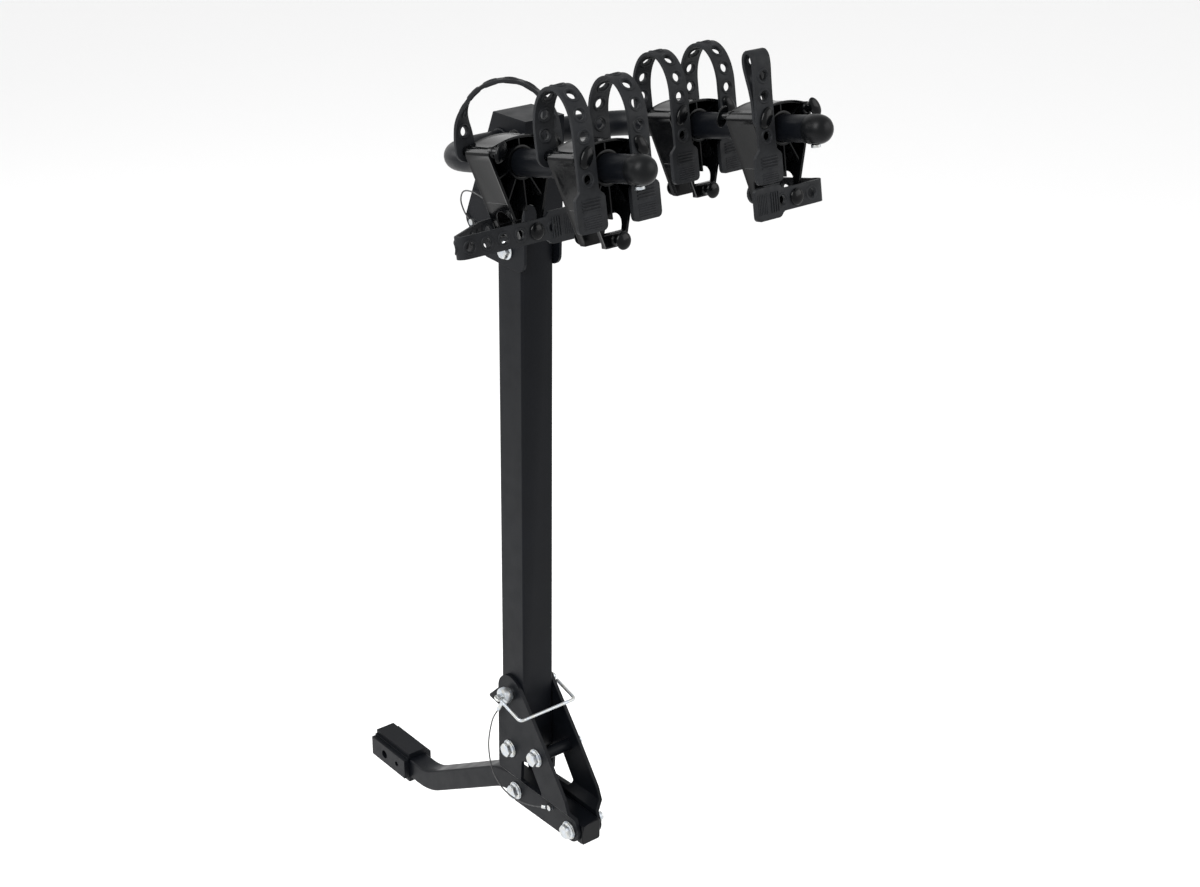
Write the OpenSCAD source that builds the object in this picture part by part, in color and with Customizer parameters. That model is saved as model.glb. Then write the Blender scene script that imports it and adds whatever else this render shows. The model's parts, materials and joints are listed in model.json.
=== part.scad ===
// Hitch mounted two-bike rack: bent shank with an adapter sleeve, tilting mast,
// folding U-shaped carrying arms and four turning cradles with rubber straps.
// Millimetres. +X across the car, +Y towards the car, +Z up.
// The origin is the centre of the hitch pin hole.

/* [Hitch end] */
// Outside width of the square shank tube
shank_w = 31.75; // [30:0.05:34]
// Outside width of the adapter sleeve over its four bars
sleeve_w = 50.8; // [50:0.1:52]
// Length of the adapter sleeve
sleeve_len = 91; // [80:1:110]
// Height of the rear end of the shank over the hitch end
shank_rise = 115; // [100:1:130]
// Diameter of the hitch pin hole
hitch_pin_d = 13.5; // [13:0.1:14]

/* [Mast] */
// Outside width of the square mast tube
mast_w = 50.8; // [50:0.1:52]
// Distance of the mast behind the hitch pin hole
mast_back = 340; // [330:1:350]
// Height of the tilt pivot over the hitch pin hole
pivot_z = 190; // [188:1:192]
// Height of the head pivot over the hitch pin hole
head_z = 928; // [900:1:960]
// Furthest rearward tilt of the mast, which sets the place of the stop bolt
mast_tilt = 42; // [36:1:45]

/* [Arms] */
// Diameter of the arm tube
arm_d = 31.75; // [31:0.05:33]
// Distance from the centre plane to each arm
arm_x = 130; // [125:1:140]
// Upward slope of the arms
arm_slope = 10.3; // [8:0.1:13]
// Length of each arm from the cross tube to the end of the metal
arm_len = 385; // [380:1:420]

/* [Cradles and straps] */
// Place of each cradle's rear face along its arm: near inner, near outer, far inner, far outer
cradle_at = [178, 331, 188, 331];
// Depth of a cradle along the arm
cradle_depth = 46; // [44:1:48]
// Width of a rubber strap
strap_w = 26; // [24:1:28]
// Thickness of a rubber strap
strap_t = 4; // [3:0.5:4]

/* [Hidden] */
$fn = 48;

black = "#2a2b2e";
rubber = "#3c3d40";
zinc = "#d8d8d4";

// Clearance between bodies that move past each other, and of a running fit
gap = 0.4;
fit = 0.05;
// Side plates: thickness, inner faces of the upper and the lower part, height of the joggle
plate_t = 5;
plate_in = mast_w / 2 + gap;
plate_low_in = shank_w / 2;
joggle_z = 136;
joggle_h = 12;
// Pivot, lock pin and bolt axes as [y, z]
mast_y = -mast_back;
pivot = [mast_y, pivot_z];
lock = [mast_y, pivot_z + 90];
shank_bolts = [[mast_y, shank_rise], [mast_y - 121, shank_rise]];
bolt_r = 6;
pin_r = 6;
spacer_r = 8.5;
stop_rise = 15;
stop_back = (mast_w / 2 + spacer_r + gap + stop_rise * sin(mast_tilt)) / cos(mast_tilt);
stop_bolt = [mast_y - stop_back, pivot_z + stop_rise];
// Head: pivot, lock pin and stowed lock hole as [y, z], radius of the lock hole circle
head_pivot = [mast_y, head_z];
head_lock_r = 50;
head_fold = 100;
head_lock = head_pivot + [0, head_lock_r];
head_stow = head_pivot + head_lock_r * [sin(head_fold), cos(head_fold)];
head_plate_t = 4;
head_plate_in = mast_w / 2 + gap;
mast_top = head_z + 67;
mast_wall = 3;
mast_end = pivot_z - 25;
// Cross tube axis as [y, z], bend radius of the arm tube
cross = [mast_y + 9, head_z + 137];
arm_bend_r = 70;
arm_r = arm_d / 2;
// Shank path: bend points and bend radius
shank_bend_y = [-104, -297];
shank_bend_r = 90;
bend_steps = 8;
shank_angle = atan(shank_rise / (shank_bend_y[0] - shank_bend_y[1]));
shank_front_y = 30;
shank_rear_y = -480;
shank_wall = 3;
sleeve_front_y = 35;
sleeve_tube_w = 38.1;
sleeve_bar_w = 32;
tether_hole_y = -34;
// Cradle section: half width and height at the top corners and at the foot
cradle_top = [48, 21];
cradle_foot = [14, -86];
cradle_wall = 3;
stud_x = 38;
stud_z = 18;
stud_lean = 30;
stud_head_t = 4.5;
foot_t = 9;
foot_gap = cradle_depth - 2 * foot_t;
foot_gap_h = 18;
stud_gap = 8;
foot_stud_z = -78;
strap_arch_h = 92;
strap_spring_z = 45;
front_leg_y = cradle_depth + stud_gap + strap_t / 2;
rear_leg_y = -stud_gap - strap_t / 2;

// A shape drawn in the Y-Z plane, thickened along X from x0 to x1
module along_x(x0, x1) {
    translate([x0, 0, 0]) rotate([90, 0, 90]) linear_extrude(x1 - x0) children();
}

// A shape drawn in the X-Z plane, thickened along Y from y0 to y1
module along_y(y0, y1) {
    translate([0, y1, 0]) rotate([90, 0, 0]) linear_extrude(y1 - y0) children();
}

// A round bar along X at a [y, z] point
module bar_x(at, r, x0, x1) {
    along_x(x0, x1) translate(at) circle(r);
}

// A round bar between two points
module rod(a, b, r) {
    d = b - a;
    translate(a) rotate([0, atan2(norm([d[0], d[1]]), d[2]), atan2(d[1], d[0])])
        cylinder(h = norm(d), r = r);
}

// Points of one bend of the shank about a centre, between two angles
function bend_points(centre, from, to) =
    [for (i = [0:bend_steps]) let (a = from + (to - from) * i / bend_steps)
        centre + shank_bend_r * [cos(a), sin(a)]];

// Middle line of the shank from its front end to its rear end, as [y, z]
function shank_line(front, rear) =
    let (t = shank_bend_r * tan(shank_angle / 2))
    concat([[front, 0]],
        bend_points([shank_bend_y[0] + t, shank_bend_r], -90, -90 - shank_angle),
        bend_points([shank_bend_y[1] - t, shank_rise - shank_bend_r], 90 - shank_angle, 90),
        [[rear, shank_rise]]);

// Side outline of a bent bar of width w that follows the shank
module shank_outline(w, front, rear) { polygon(strip(shank_line(front, rear), w)); }

module shank() {
    inner = shank_w - 2 * shank_wall;
    color(black) difference() {
        along_x(-shank_w / 2, shank_w / 2) shank_outline(shank_w, shank_front_y, shank_rear_y);
        along_x(-inner / 2, inner / 2) shank_outline(inner, shank_front_y + 1, shank_rear_y - 1);
        bar_x([0, 0], hitch_pin_d / 2, -shank_w, shank_w);
        bar_x([tether_hole_y, 0], 4, -shank_w, shank_w);
        for (b = shank_bolts) bar_x(b, bolt_r + fit, -shank_w, shank_w);
    }
}

module shank_end_cap() {
    plug = shank_w - 2 * shank_wall - 0.4;
    color(black) {
        translate([-shank_w / 2, shank_rear_y - 4, shank_rise - shank_w / 2])
            cube([shank_w, 4, shank_w]);
        translate([-plug / 2, shank_rear_y - 1, shank_rise - plug / 2]) cube([plug, 10, plug]);
    }
}

module adapter_sleeve() {
    y0 = sleeve_front_y - sleeve_len;
    bore = shank_w + 2 * gap;
    bar_t = (sleeve_w - sleeve_tube_w) / 2;
    color(black) difference() {
        along_y(y0, sleeve_front_y) {
            square(sleeve_tube_w, center = true);
            for (a = [0:90:270]) rotate(a)
                translate([sleeve_tube_w / 2 - 1, -sleeve_bar_w / 2]) square([bar_t + 1, sleeve_bar_w]);
        }
        along_y(y0 - 1, sleeve_front_y + 1) square(bore, center = true);
        bar_x([0, 0], hitch_pin_d / 2, -sleeve_w, sleeve_w);
        bar_x([tether_hole_y, 0], 4, -sleeve_w, sleeve_w);
    }
}

// Side outline of a plate: lobe about the lock pin, straight front, slanted rear, round tail
module plate_outline() {
    tail = shank_bolts[1] + [-2, 2];
    hull() {
        translate(lock) circle(27);
        translate([mast_y + 17, joggle_z + 20]) circle(10);
        translate([mast_y - 62, pivot_z + 24]) circle(20);
    }
    hull() {
        translate([mast_y + 17, joggle_z + 20]) circle(10);
        translate([mast_y - 62, pivot_z + 24]) circle(20);
        translate([mast_y - 112, pivot_z - 30]) circle(12);
        translate([mast_y + 1, shank_rise - 9]) circle(10);
        translate(tail) circle(18);
    }
    plate_nose();
}

// Lightening window between the pivot, the stop bolt and the shank
module plate_window() {
    hull() {
        translate([mast_y - 32, joggle_z + 42]) circle(6);
        translate([mast_y - 44, joggle_z + 45]) circle(6);
        translate([mast_y - 64, joggle_z + 14]) circle(7);
        translate([mast_y - 29, joggle_z + 11]) circle(5);
    }
}

// Pointed nose ahead of the lobe, which guides the mast as it is raised
module plate_nose() {
    polygon([[mast_y + 20, lock[1] - 1], [mast_y + 27, lock[1] - 3], [mast_y + 48, lock[1] - 24],
             [mast_y + 47, lock[1] - 27], [mast_y + 30, lock[1] - 30], [mast_y + 20, lock[1] - 30]]);
}

// Plate on the side given: upper part beside the mast, lower part stepped in beside the shank
module side_plate(side) {
    low = plate_low_in;
    up = plate_in;
    t = plate_t;
    top = lock[1] + 40;
    color(black) difference() {
        intersection() {
            along_x(-up - 2 * t, up + 2 * t) plate_outline();
            along_y(mast_y - 200, mast_y + 100) scale([side, 1])
                polygon([[low, 60], [low + t, 60], [low + t, joggle_z], [up + t, joggle_z + joggle_h],
                         [up + t, top], [up, top], [up, joggle_z + joggle_h + 2], [low, joggle_z + 2]]);
        }
        along_x(-up - 3 * t, up + 3 * t) plate_window();
        for (b = [pivot, stop_bolt, shank_bolts[0], shank_bolts[1]])
            bar_x(b, bolt_r + fit, -50, 50);
        bar_x(lock, pin_r + fit, -50, 50);
    }
}

module near_side_plate() { side_plate(-1); }
module far_side_plate() { side_plate(1); }

module stop_spacer() {
    color(zinc) difference() {
        bar_x(stop_bolt, spacer_r, -plate_in, plate_in);
        bar_x(stop_bolt, bolt_r + fit, -50, 50);
    }
}

// Hexagon headed bolt with a round flange, along X; face is the X of the seat under the head
module flange_bolt(at, face, len) {
    bar_x(at, bolt_r, -face, -face + len);
    bar_x(at, 12, -face - 2.5, -face);
    along_x(-face - 8.5, -face - 2.5) translate(at) circle(10.5, $fn = 6);
}

module hex_nut(at, face) {
    along_x(face, face + 9) translate(at) difference() {
        circle(10.5, $fn = 6);
        circle(bolt_r + fit);
    }
}

module washer(at, x0) {
    along_x(x0, x0 + 2) translate(at) difference() {
        circle(13);
        circle(bolt_r + fit);
    }
}

upper_out = plate_in + plate_t;
lower_out = plate_low_in + plate_t;

module frame_bolts() {
    color(zinc) {
        flange_bolt(stop_bolt, upper_out + 2, 2 * upper_out + 18);
        for (b = shank_bolts) flange_bolt(b, lower_out + 2, 2 * lower_out + 18);
    }
}

module frame_nuts() {
    color(zinc) {
        hex_nut(stop_bolt, upper_out + 2);
        for (b = shank_bolts) hex_nut(b, lower_out + 2);
    }
}

module frame_washers() {
    color(zinc) {
        for (b = [stop_bolt, pivot]) {
            washer(b, -upper_out - 2);
            washer(b, upper_out);
        }
        for (b = shank_bolts) {
            washer(b, -lower_out - 2);
            washer(b, lower_out);
        }
    }
}

module mast_pivot_bolt() { color(zinc) flange_bolt(pivot, upper_out + 2, 2 * upper_out + 18); }
module mast_pivot_nut() { color(zinc) hex_nut(pivot, upper_out + 2); }

// Opening that lets a pin leave a square tube: from its hole along the pin's own arc
module pin_way(centre, radius, from, to, r) {
    steps = 8;
    for (i = [0:steps - 1]) {
        a = from + (to - from) * i / steps;
        b = from + (to - from) * (i + 1) / steps;
        translate(centre) intersection() {
            difference() {
                circle(radius + r, $fn = 96);
                circle(radius - r, $fn = 96);
            }
            polygon([[0, 0], 2 * radius * [cos(a), sin(a)], 2 * radius * [cos(b), sin(b)]]);
        }
    }
    translate(centre + radius * [cos(from), sin(from)]) circle(r);
}

module mast_tube() {
    half = mast_w / 2;
    inner = half - mast_wall;
    way = pin_r + gap;
    color(black) difference() {
        along_y(mast_y - half, mast_y + half)
            translate([-half, mast_end]) square([mast_w, mast_top - mast_end]);
        translate([-inner, mast_y - inner, mast_end - 1])
            cube([2 * inner, 2 * inner, mast_top - mast_end + 2]);
        // bevel at the rear of the lower end
        along_x(-half - 1, half + 1) polygon([[mast_y - half - 1, mast_end - 1],
            [mast_y, mast_end - 1], [mast_y - half - 1, mast_end + 27]]);
        bar_x(pivot, 8, -50, 50);
        bar_x(head_pivot, 8, -50, 50);
        along_x(-half - 1, half + 1) pin_way(pivot, lock[1] - pivot_z, 90, 60, way);
        along_x(-half - 1, half + 1) pin_way(head_pivot, head_lock_r, 90, 150, way);
        // rear wall ends below the head lock pin
        translate([-inner, mast_y - half - 1, head_z + 32]) cube([2 * inner, mast_wall + 2, 60]);
    }
}

// Tube pressed through the mast, which turns on a pivot bolt
module pivot_bush(at) {
    color(zinc) difference() {
        bar_x(at, 8, -mast_w / 2 - 0.2, mast_w / 2 + 0.2);
        bar_x(at, bolt_r + fit, -50, 50);
    }
}

module mast_pivot_bush() { pivot_bush(pivot); }
module head_pivot_bush() { pivot_bush(head_pivot); }

// Lock pin of the mast: knobbed head on the near side, collar on the plate, tip past the bail
pin_head_x = -46;
pin_head_t = 10;
pin_tip_x = 48;

module mast_lock_pin() {
    color(zinc) {
        bar_x(lock, pin_r, pin_head_x, pin_tip_x);
        bar_x(lock, 12, pin_head_x - pin_head_t, pin_head_x);
        bar_x(lock, 9, -upper_out - 3, -upper_out - 0.4);
    }
}

// Spring wire bail of the lock pin: two legs and a long side behind the mast, dropping rearwards
bail_reach = 51.5;
bail_r = 2.4;
bail_bend = 6;
bail_drop = 15;
bail_near_end = 13.6;
bail_far_end = 8.8;

module mast_pin_bail() {
    x0 = pin_head_x - 4.5;
    x1 = pin_tip_x - 2;
    long_side = -bail_reach + bail_bend;
    color(zinc) translate([0, lock[0], lock[1]]) rotate([bail_drop, 0, 0]) {
        rod([x0, -bail_near_end, 0], [x0, long_side, 0], bail_r);
        rod([x1, -bail_far_end, 0], [x1, long_side, 0], bail_r);
        rod([x0 + bail_bend, -bail_reach, 0], [x1 - bail_bend, -bail_reach, 0], bail_r);
        translate([x0 + bail_bend, long_side, 0]) rotate(180)
            rotate_extrude(angle = 90) translate([bail_bend, 0]) circle(bail_r, $fn = 24);
        translate([x1 - bail_bend, long_side, 0]) rotate(270)
            rotate_extrude(angle = 90) translate([bail_bend, 0]) circle(bail_r, $fn = 24);
    }
}

// Lock pin of the head: low head on the near side, cross hole for its clip on the far side
clip_x = 36;
clip_r = 1.5;

module head_lock_pin() {
    color(zinc) difference() {
        union() {
            bar_x(head_lock, pin_r, -head_out - 2, clip_x + 6);
            bar_x(head_lock, 8, -head_out - 3.5, -head_out - 0.4);
        }
        translate([clip_x, head_lock[0], head_lock[1] - 20]) cylinder(h = 40, r = clip_r + fit);
    }
}

// Hairpin clip through the pin's cross hole, its round leg bowed in front of the pin
module head_pin_clip() {
    bow = 9;
    color(zinc) translate([clip_x, head_lock[0], head_lock[1]]) {
        rod([0, 0, -16], [0, 0, 22], clip_r);
        translate([0, bow, 22]) rotate([90, 0, 90])
            rotate_extrude(angle = 180) translate([bow, 0]) circle(clip_r, $fn = 24);
        rod([0, 2 * bow, 22], [0, 2 * bow, -12], clip_r);
    }
}

// A thin cable swept along hand-set points, with eight sides
cable_r = 1;
cable_sides = 8;

function unit(v) = v / norm(v);
function dir_at(p, i) = unit(p[min(i + 1, len(p) - 1)] - p[max(i - 1, 0)]);
function smooth(p, n) = [for (i = [0:len(p) - 2], j = [0:n - 1])
    let (a = p[max(i - 1, 0)], b = p[i], c = p[i + 1], d = p[min(i + 2, len(p) - 1)], t = j / n)
    0.5 * (2 * b + (c - a) * t + (2 * a - 5 * b + 4 * c - d) * t * t
        + (3 * b - a - 3 * c + d) * t * t * t)];
function with_end(p, n) = concat(smooth(p, n), [p[len(p) - 1]]);

module cable(points, steps) {
    p = with_end(points, steps);
    n = len(p);
    side = [1, 0, 0];
    rings = [for (i = [0:n - 1])
        let (d = dir_at(p, i), u = unit(cross(d, side)), v = cross(d, u))
        for (k = [0:cable_sides - 1])
            p[i] + cable_r * (cos(360 * k / cable_sides) * u + sin(360 * k / cable_sides) * v)];
    walls = [for (i = [0:n - 2], k = [0:cable_sides - 1])
        let (a = i * cable_sides + k, b = i * cable_sides + (k + 1) % cable_sides)
        [a, a + cable_sides, b + cable_sides, b]];
    ends = [[for (k = [0:cable_sides - 1]) k],
            [for (k = [cable_sides - 1:-1:0]) (n - 1) * cable_sides + k]];
    polyhedron(rings, concat(walls, ends));
}

// Routes of the two tether cables
mast_cable_route = [[-37, -321, 247], [-37, -308, 226], [-37, -300, 200], [-38, -298, 178],
    [-39, -302, 156], [-40, -312, 138], [-40, -328, 125], [-39, -350, 119], [-36, -374, 119],
    [-31, -396, 123], [-27, -408, 127]];
head_cable_route = [[-33, -326, 979], [-34, -312, 984], [-35, -280, 990], [-34, -256, 986],
    [-33, -248, 972], [-32, -254, 958], [-32, -264, 951]];

module mast_pin_cable() { color(black) cable(mast_cable_route, 4); }
module head_pin_cable() { color(black) cable(head_cable_route, 4); }

module mast_cable_ferrules() {
    color(zinc) {
        rod([-37, -333, 266], [-37, -321.2, 247.4], 3);
        rod([-26.8, -408.3, 127.1], [-25.5, -415.5, 129.5], 2.6);
    }
}

module head_cable_ferrules() {
    color(zinc) {
        rod([-33, -330.9, 977.2], [-33, -326.3, 978.8], 2.4);
        bar_x([-269, 948], 4, -33.5, -head_out);
    }
}

module cable_anchor_ring() {
    color(zinc) bar_x([mast_y - 81, joggle_z - 5], 4, -26, -lower_out);
}

// Side outline of the head bracket
module head_outline() {
    top = cross_z + 36;
    hull() {
        translate([mast_y + 72, head_z + 24]) circle(14);
        translate([mast_y + 40, head_z - 4]) circle(16);
        translate([mast_y - 22, head_z - 8]) circle(15);
        translate([mast_y - 41, top - 20]) square([66, 20]);
    }
}

cross_z = cross[1];

// Bent sheet bracket: two sides, a top and a rear web, welded to the cross tube
module head_bracket() {
    out = head_plate_in + head_plate_t;
    top = cross_z + 36;
    color(black) difference() {
        along_x(-out, out) head_outline();
        // the space between the sides, under the top and ahead of the rear web
        translate([-head_plate_in, mast_y - 37, head_z - 60])
            cube([2 * head_plate_in, 150, top - head_plate_t - head_z + 60]);
        translate([-head_plate_in, mast_y - 60, head_z - 60])
            cube([2 * head_plate_in, 60, 100]);
        bar_x(cross, arm_r, -50, 50);
        bar_x(head_pivot, bolt_r + fit, -50, 50);
        bar_x(head_lock, pin_r + fit, -50, 50);
        bar_x(head_stow, pin_r + fit, -50, 50);
    }
}

// Places its children in the sloping frame of the arms, with the origin on the cross tube
module arm_frame() { translate([0, cross[0], cross[1]]) rotate([-arm_slope, 0, 0]) children(); }

module arm_bar(r) {
    straight = arm_x - arm_bend_r;
    rod([-straight, 0, 0], [straight, 0, 0], r);
    for (side = [-1, 1]) {
        translate([side * arm_x, -arm_len, 0]) rotate([-90, 0, 0]) cylinder(h = arm_len - arm_bend_r, r = r);
        translate([side * straight, -arm_bend_r, 0]) rotate(side > 0 ? 0 : 90)
            rotate_extrude(angle = 90, $fn = 96) translate([arm_bend_r, 0]) circle(r);
    }
}

cap_at = 374;
screw_at = 380;
screw_r = 2.5;

module arm_screw_bore(side, r) {
    translate([side * arm_x, -screw_at, -arm_r - 8]) cylinder(h = 12, r = r);
}

module arm_tube() {
    color(black) arm_frame() difference() {
        arm_bar(arm_r);
        arm_bar(arm_r - 2);
        for (side = [-1, 1]) {
            translate([side * arm_x, -arm_len - 1, 0]) rotate([-90, 0, 0]) cylinder(h = 3, r = arm_r - 2);
            arm_screw_bore(side, screw_r + fit);
        }
    }
}

module arm_cap(side) {
    r = arm_r + 1.2;
    dome_at = 388;
    color(black) arm_frame() difference() {
        translate([side * arm_x, -dome_at, 0]) {
            rotate([-90, 0, 0]) cylinder(h = dome_at - cap_at, r = r);
            intersection() {
                sphere(r);
                translate([-r, -r, -r]) cube([2 * r, r, 2 * r]);
            }
        }
        translate([side * arm_x, -arm_len, 0]) rotate([-90, 0, 0]) cylinder(h = arm_len, r = arm_r + fit);
        arm_screw_bore(side, screw_r + fit);
    }
}

module near_arm_cap() { arm_cap(-1); }
module far_arm_cap() { arm_cap(1); }

module arm_cap_screws() {
    color(zinc) arm_frame() for (side = [-1, 1]) translate([side * arm_x, -screw_at, 0]) {
        translate([0, 0, -arm_r - 1.2 - 3.5]) cylinder(h = 3.5, r = 5.5);
        translate([0, 0, -arm_r - 1.2]) cylinder(h = 6, r = screw_r);
    }
}

head_out = head_plate_in + head_plate_t;
module head_pivot_bolt() { color(zinc) flange_bolt(head_pivot, head_out, 2 * head_out + 12); }
module head_pivot_nut() { color(zinc) hex_nut(head_pivot, head_out); }

// Places its children on one arm: x across, y towards the car from the cradle's rear face
module on_arm(side, at) { arm_frame() translate([side * arm_x, -at, 0]) children(); }

module cradle_outline(inset, top) {
    x = cradle_top[0] - inset;
    foot = cradle_foot[0] - inset;
    polygon([[-foot, cradle_foot[1]], [foot, cradle_foot[1]], [x, cradle_top[1]], [x, top],
             [-x, top], [-x, cradle_top[1]]]);
}

// Mushroom stud for a strap, along Y from the face at y0; with a lean its head is a long oval
module stud(x, y0, z, way, lean) {
    stem = stud_gap + strap_t + 0.3;
    head_r = lean == 0 ? 10 : 13;
    head_w = lean == 0 ? 2 * head_r : 15;
    translate([x, y0, z]) rotate([way > 0 ? -90 : 90, 0, 0]) {
        translate([0, 0, -1]) cylinder(h = stem + 1.5, r = 5);
        rotate([0, 0, -way * lean]) intersection() {
            translate([0, 0, stem]) cylinder(h = stud_head_t, r = head_r);
            translate([-head_w / 2, -head_r, stem]) cube([head_w, 2 * head_r, stud_head_t]);
        }
    }
}

module cradle(side, at) {
    crown_r = 110;
    crown_z = 31;
    pocket = cradle_depth - 4;
    color(black) on_arm(side, at) difference() {
        union() {
            difference() {
                along_y(0, cradle_depth) intersection() {
                    cradle_outline(0, 40);
                    translate([0, crown_z - crown_r]) circle(crown_r, $fn = 96);
                }
                along_y(-1, pocket) difference() {
                    intersection() {
                        cradle_outline(cradle_wall + 0.5, 17);
                        translate([-60, -70]) square([120, 87]);
                    }
                    circle(arm_r + 4);
                    for (x = [-5, 5]) translate([x - 1.2, -80]) square([2.4, 70]);
                    for (m = [-1, 1]) rotate(m * 52) translate([-1.2, -80]) square([2.4, 70]);
                }
                // gap between the front and the rear foot, with a round top
                translate([-60, foot_t, cradle_foot[1] - 1]) cube([120, foot_gap, foot_gap_h + 1]);
                translate([-60, cradle_depth / 2, cradle_foot[1] + foot_gap_h]) rotate([0, 90, 0])
                    cylinder(h = 120, r = foot_gap / 2);
            }
            for (m = [-1, 1], way = [-1, 1])
                stud(m * stud_x, way < 0 ? 0 : cradle_depth, stud_z, way, m * stud_lean);
            stud(0, 0, foot_stud_z, -1, 0);
            stud(0, cradle_depth, foot_stud_z, 1, 0);
        }
        along_y(-30, cradle_depth + 30) circle(arm_r + fit);
    }
}

module near_inner_cradle() { cradle(-1, cradle_at[0]); }
module near_outer_cradle() { cradle(-1, cradle_at[1]); }
module far_inner_cradle() { cradle(1, cradle_at[2]); }
module far_outer_cradle() { cradle(1, cradle_at[3]); }

// Outline of a strip of thickness t along the points given
function normal_at(p, i) = let (d = dir_at(p, i)) [-d[1], d[0]];
function strip(p, t) = concat(
    [for (i = [0:len(p) - 1]) p[i] + t / 2 * normal_at(p, i)],
    [for (i = [len(p) - 1:-1:0]) p[i] - t / 2 * normal_at(p, i)]);

// Arched strap over a saddle, from leg to leg; both feet reach down to the heights given
module arch(front, rear, front_foot, rear_foot) {
    mid = (front + rear) / 2;
    half = (front - rear) / 2;
    rise = strap_arch_h - strap_spring_z;
    points = concat([[front, front_foot]],
        [for (a = [0:12:180]) [mid + half * cos(a), strap_spring_z + rise * sin(a)]],
        [[rear, rear_foot]]);
    along_x(-strap_w / 2, strap_w / 2) polygon(strip(points, strap_t));
}

module stud_bores(x, z) {
    translate([x, cradle_depth + 30, z]) rotate([90, 0, 0]) cylinder(h = cradle_depth + 60, r = 5.3);
}

// Wide pull tab behind the cradle, from z = -20 down to the end given
module pull_tab(end) {
    translate([-20, rear_leg_y - 3, end]) cube([40, 6, -20 - end]);
}

// Plain strap with its wide pull tab behind the cradle
module tab_strap(side, at, x) {
    color(rubber) on_arm(side, at) difference() {
        translate([x, 0, 0]) {
            arch(front_leg_y, rear_leg_y, 5, -22);
            pull_tab(-62);
        }
        stud_bores(x, stud_z);
    }
}

// Middle line of a strap stowed as a narrow loop, both its legs on the rear stud, as [y, z]
stowed_line = [[-5.4, 5], [-5.4, 30], [-3, 48], [1, 64], [4, 78], [3, 88], [-3, 92.5],
    [-9, 88], [-11, 78], [-10.6, 62], [-10.1, 44], [-10, 20], [-10, -22]];

module stowed_strap(side, at, x) {
    color(rubber) on_arm(side, at) difference() {
        translate([x, 0, 0]) {
            along_x(-strap_w / 2, strap_w / 2) polygon(strip(with_end(stowed_line, 4), strap_t));
            pull_tab(-56);
        }
        stud_bores(x, stud_z);
    }
}

// Strap that crosses the saddle from the front left stud to the rear right stud
module cross_strap(side, at) {
    out = 1.5;
    span = norm([2 * stud_x, front_leg_y - rear_leg_y]) + 2 * out;
    turn = atan(2 * stud_x / (front_leg_y - rear_leg_y));
    color(rubber) on_arm(side, at) difference() {
        translate([0, (front_leg_y + rear_leg_y) / 2, 0]) rotate(turn)
            arch(span / 2, -span / 2, 5, 5);
        for (x = [-stud_x, stud_x]) {
            stud_bores(x, stud_z);
            for (y = [cradle_depth + stud_gap + strap_t, -stud_gap - strap_t - 6])
                translate([x, y + 6, stud_z]) rotate([90, 0, 0]) cylinder(h = 6, r = 13.3);
            translate([x - 30, -0.3, -60]) cube([60, cradle_depth + 0.6, 93]);
        }
    }
}

// Steadying strap round the feet of a cradle, folded on the side given, its tab on the other
module sway_strap(side, at, fold, reach, tab) {
    z = foot_stud_z;
    bend = 7;
    run = [[tab, rear_leg_y], [-reach + bend, rear_leg_y],
           for (a = [240:-20:120]) [-reach + bend + bend * cos(a), rear_leg_y + bend + bend * sin(a)],
           [-34, front_leg_y - 4], [-20, front_leg_y], [12, front_leg_y]];
    color(rubber) on_arm(side, at) difference() {
        union() {
            translate([0, 0, z - strap_w / 2]) linear_extrude(strap_w) scale([fold, 1])
                polygon(strip(run, strap_t));
            translate([fold * (tab + 20) - 20, rear_leg_y - 3, z - 19]) cube([40, 6, 38]);
        }
        stud_bores(0, z);
    }
}

module near_inner_strap() { cross_strap(-1, cradle_at[0]); }
module near_outer_strap_left() { tab_strap(-1, cradle_at[1], -stud_x); }
module near_outer_strap_right() { tab_strap(-1, cradle_at[1], stud_x); }
module far_inner_strap_left() { tab_strap(1, cradle_at[2], -stud_x); }
module far_inner_strap_right() { tab_strap(1, cradle_at[2], stud_x); }
module far_outer_strap() { stowed_strap(1, cradle_at[3], -stud_x); }
module near_sway_strap() { sway_strap(-1, cradle_at[0], 1, 104, 18); }
module far_sway_strap() { sway_strap(1, cradle_at[3], -1, 44, 24); }

shank();
shank_end_cap();
adapter_sleeve();
near_side_plate();
far_side_plate();
stop_spacer();
frame_bolts();
frame_nuts();
frame_washers();
mast_pivot_bolt();
mast_pivot_nut();
mast_tube();
mast_pivot_bush();
mast_lock_pin();
mast_pin_bail();
mast_pin_cable();
mast_cable_ferrules();
cable_anchor_ring();
head_bracket();
arm_tube();
near_arm_cap();
far_arm_cap();
arm_cap_screws();
head_pivot_bolt();
head_pivot_nut();
head_pivot_bush();
head_lock_pin();
head_pin_clip();
head_pin_cable();
head_cable_ferrules();
near_inner_cradle();
near_outer_cradle();
far_inner_cradle();
far_outer_cradle();
near_inner_strap();
near_outer_strap_left();
near_outer_strap_right();
far_inner_strap_left();
far_inner_strap_right();
far_outer_strap();
near_sway_strap();
far_sway_strap();
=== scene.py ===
"""Looks of the hitch mounted bike rack, laid out as a Blender add-on and run as a script.

Lengths named with _mm are millimetres. A cradle's own frame has x across the car, y towards
the car from the cradle's rear face, and z away from the arm, with z = 0 on the arm's axis.
"""
import json
import math
from contextlib import contextmanager

import bpy
from mathutils import Matrix, Vector


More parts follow.
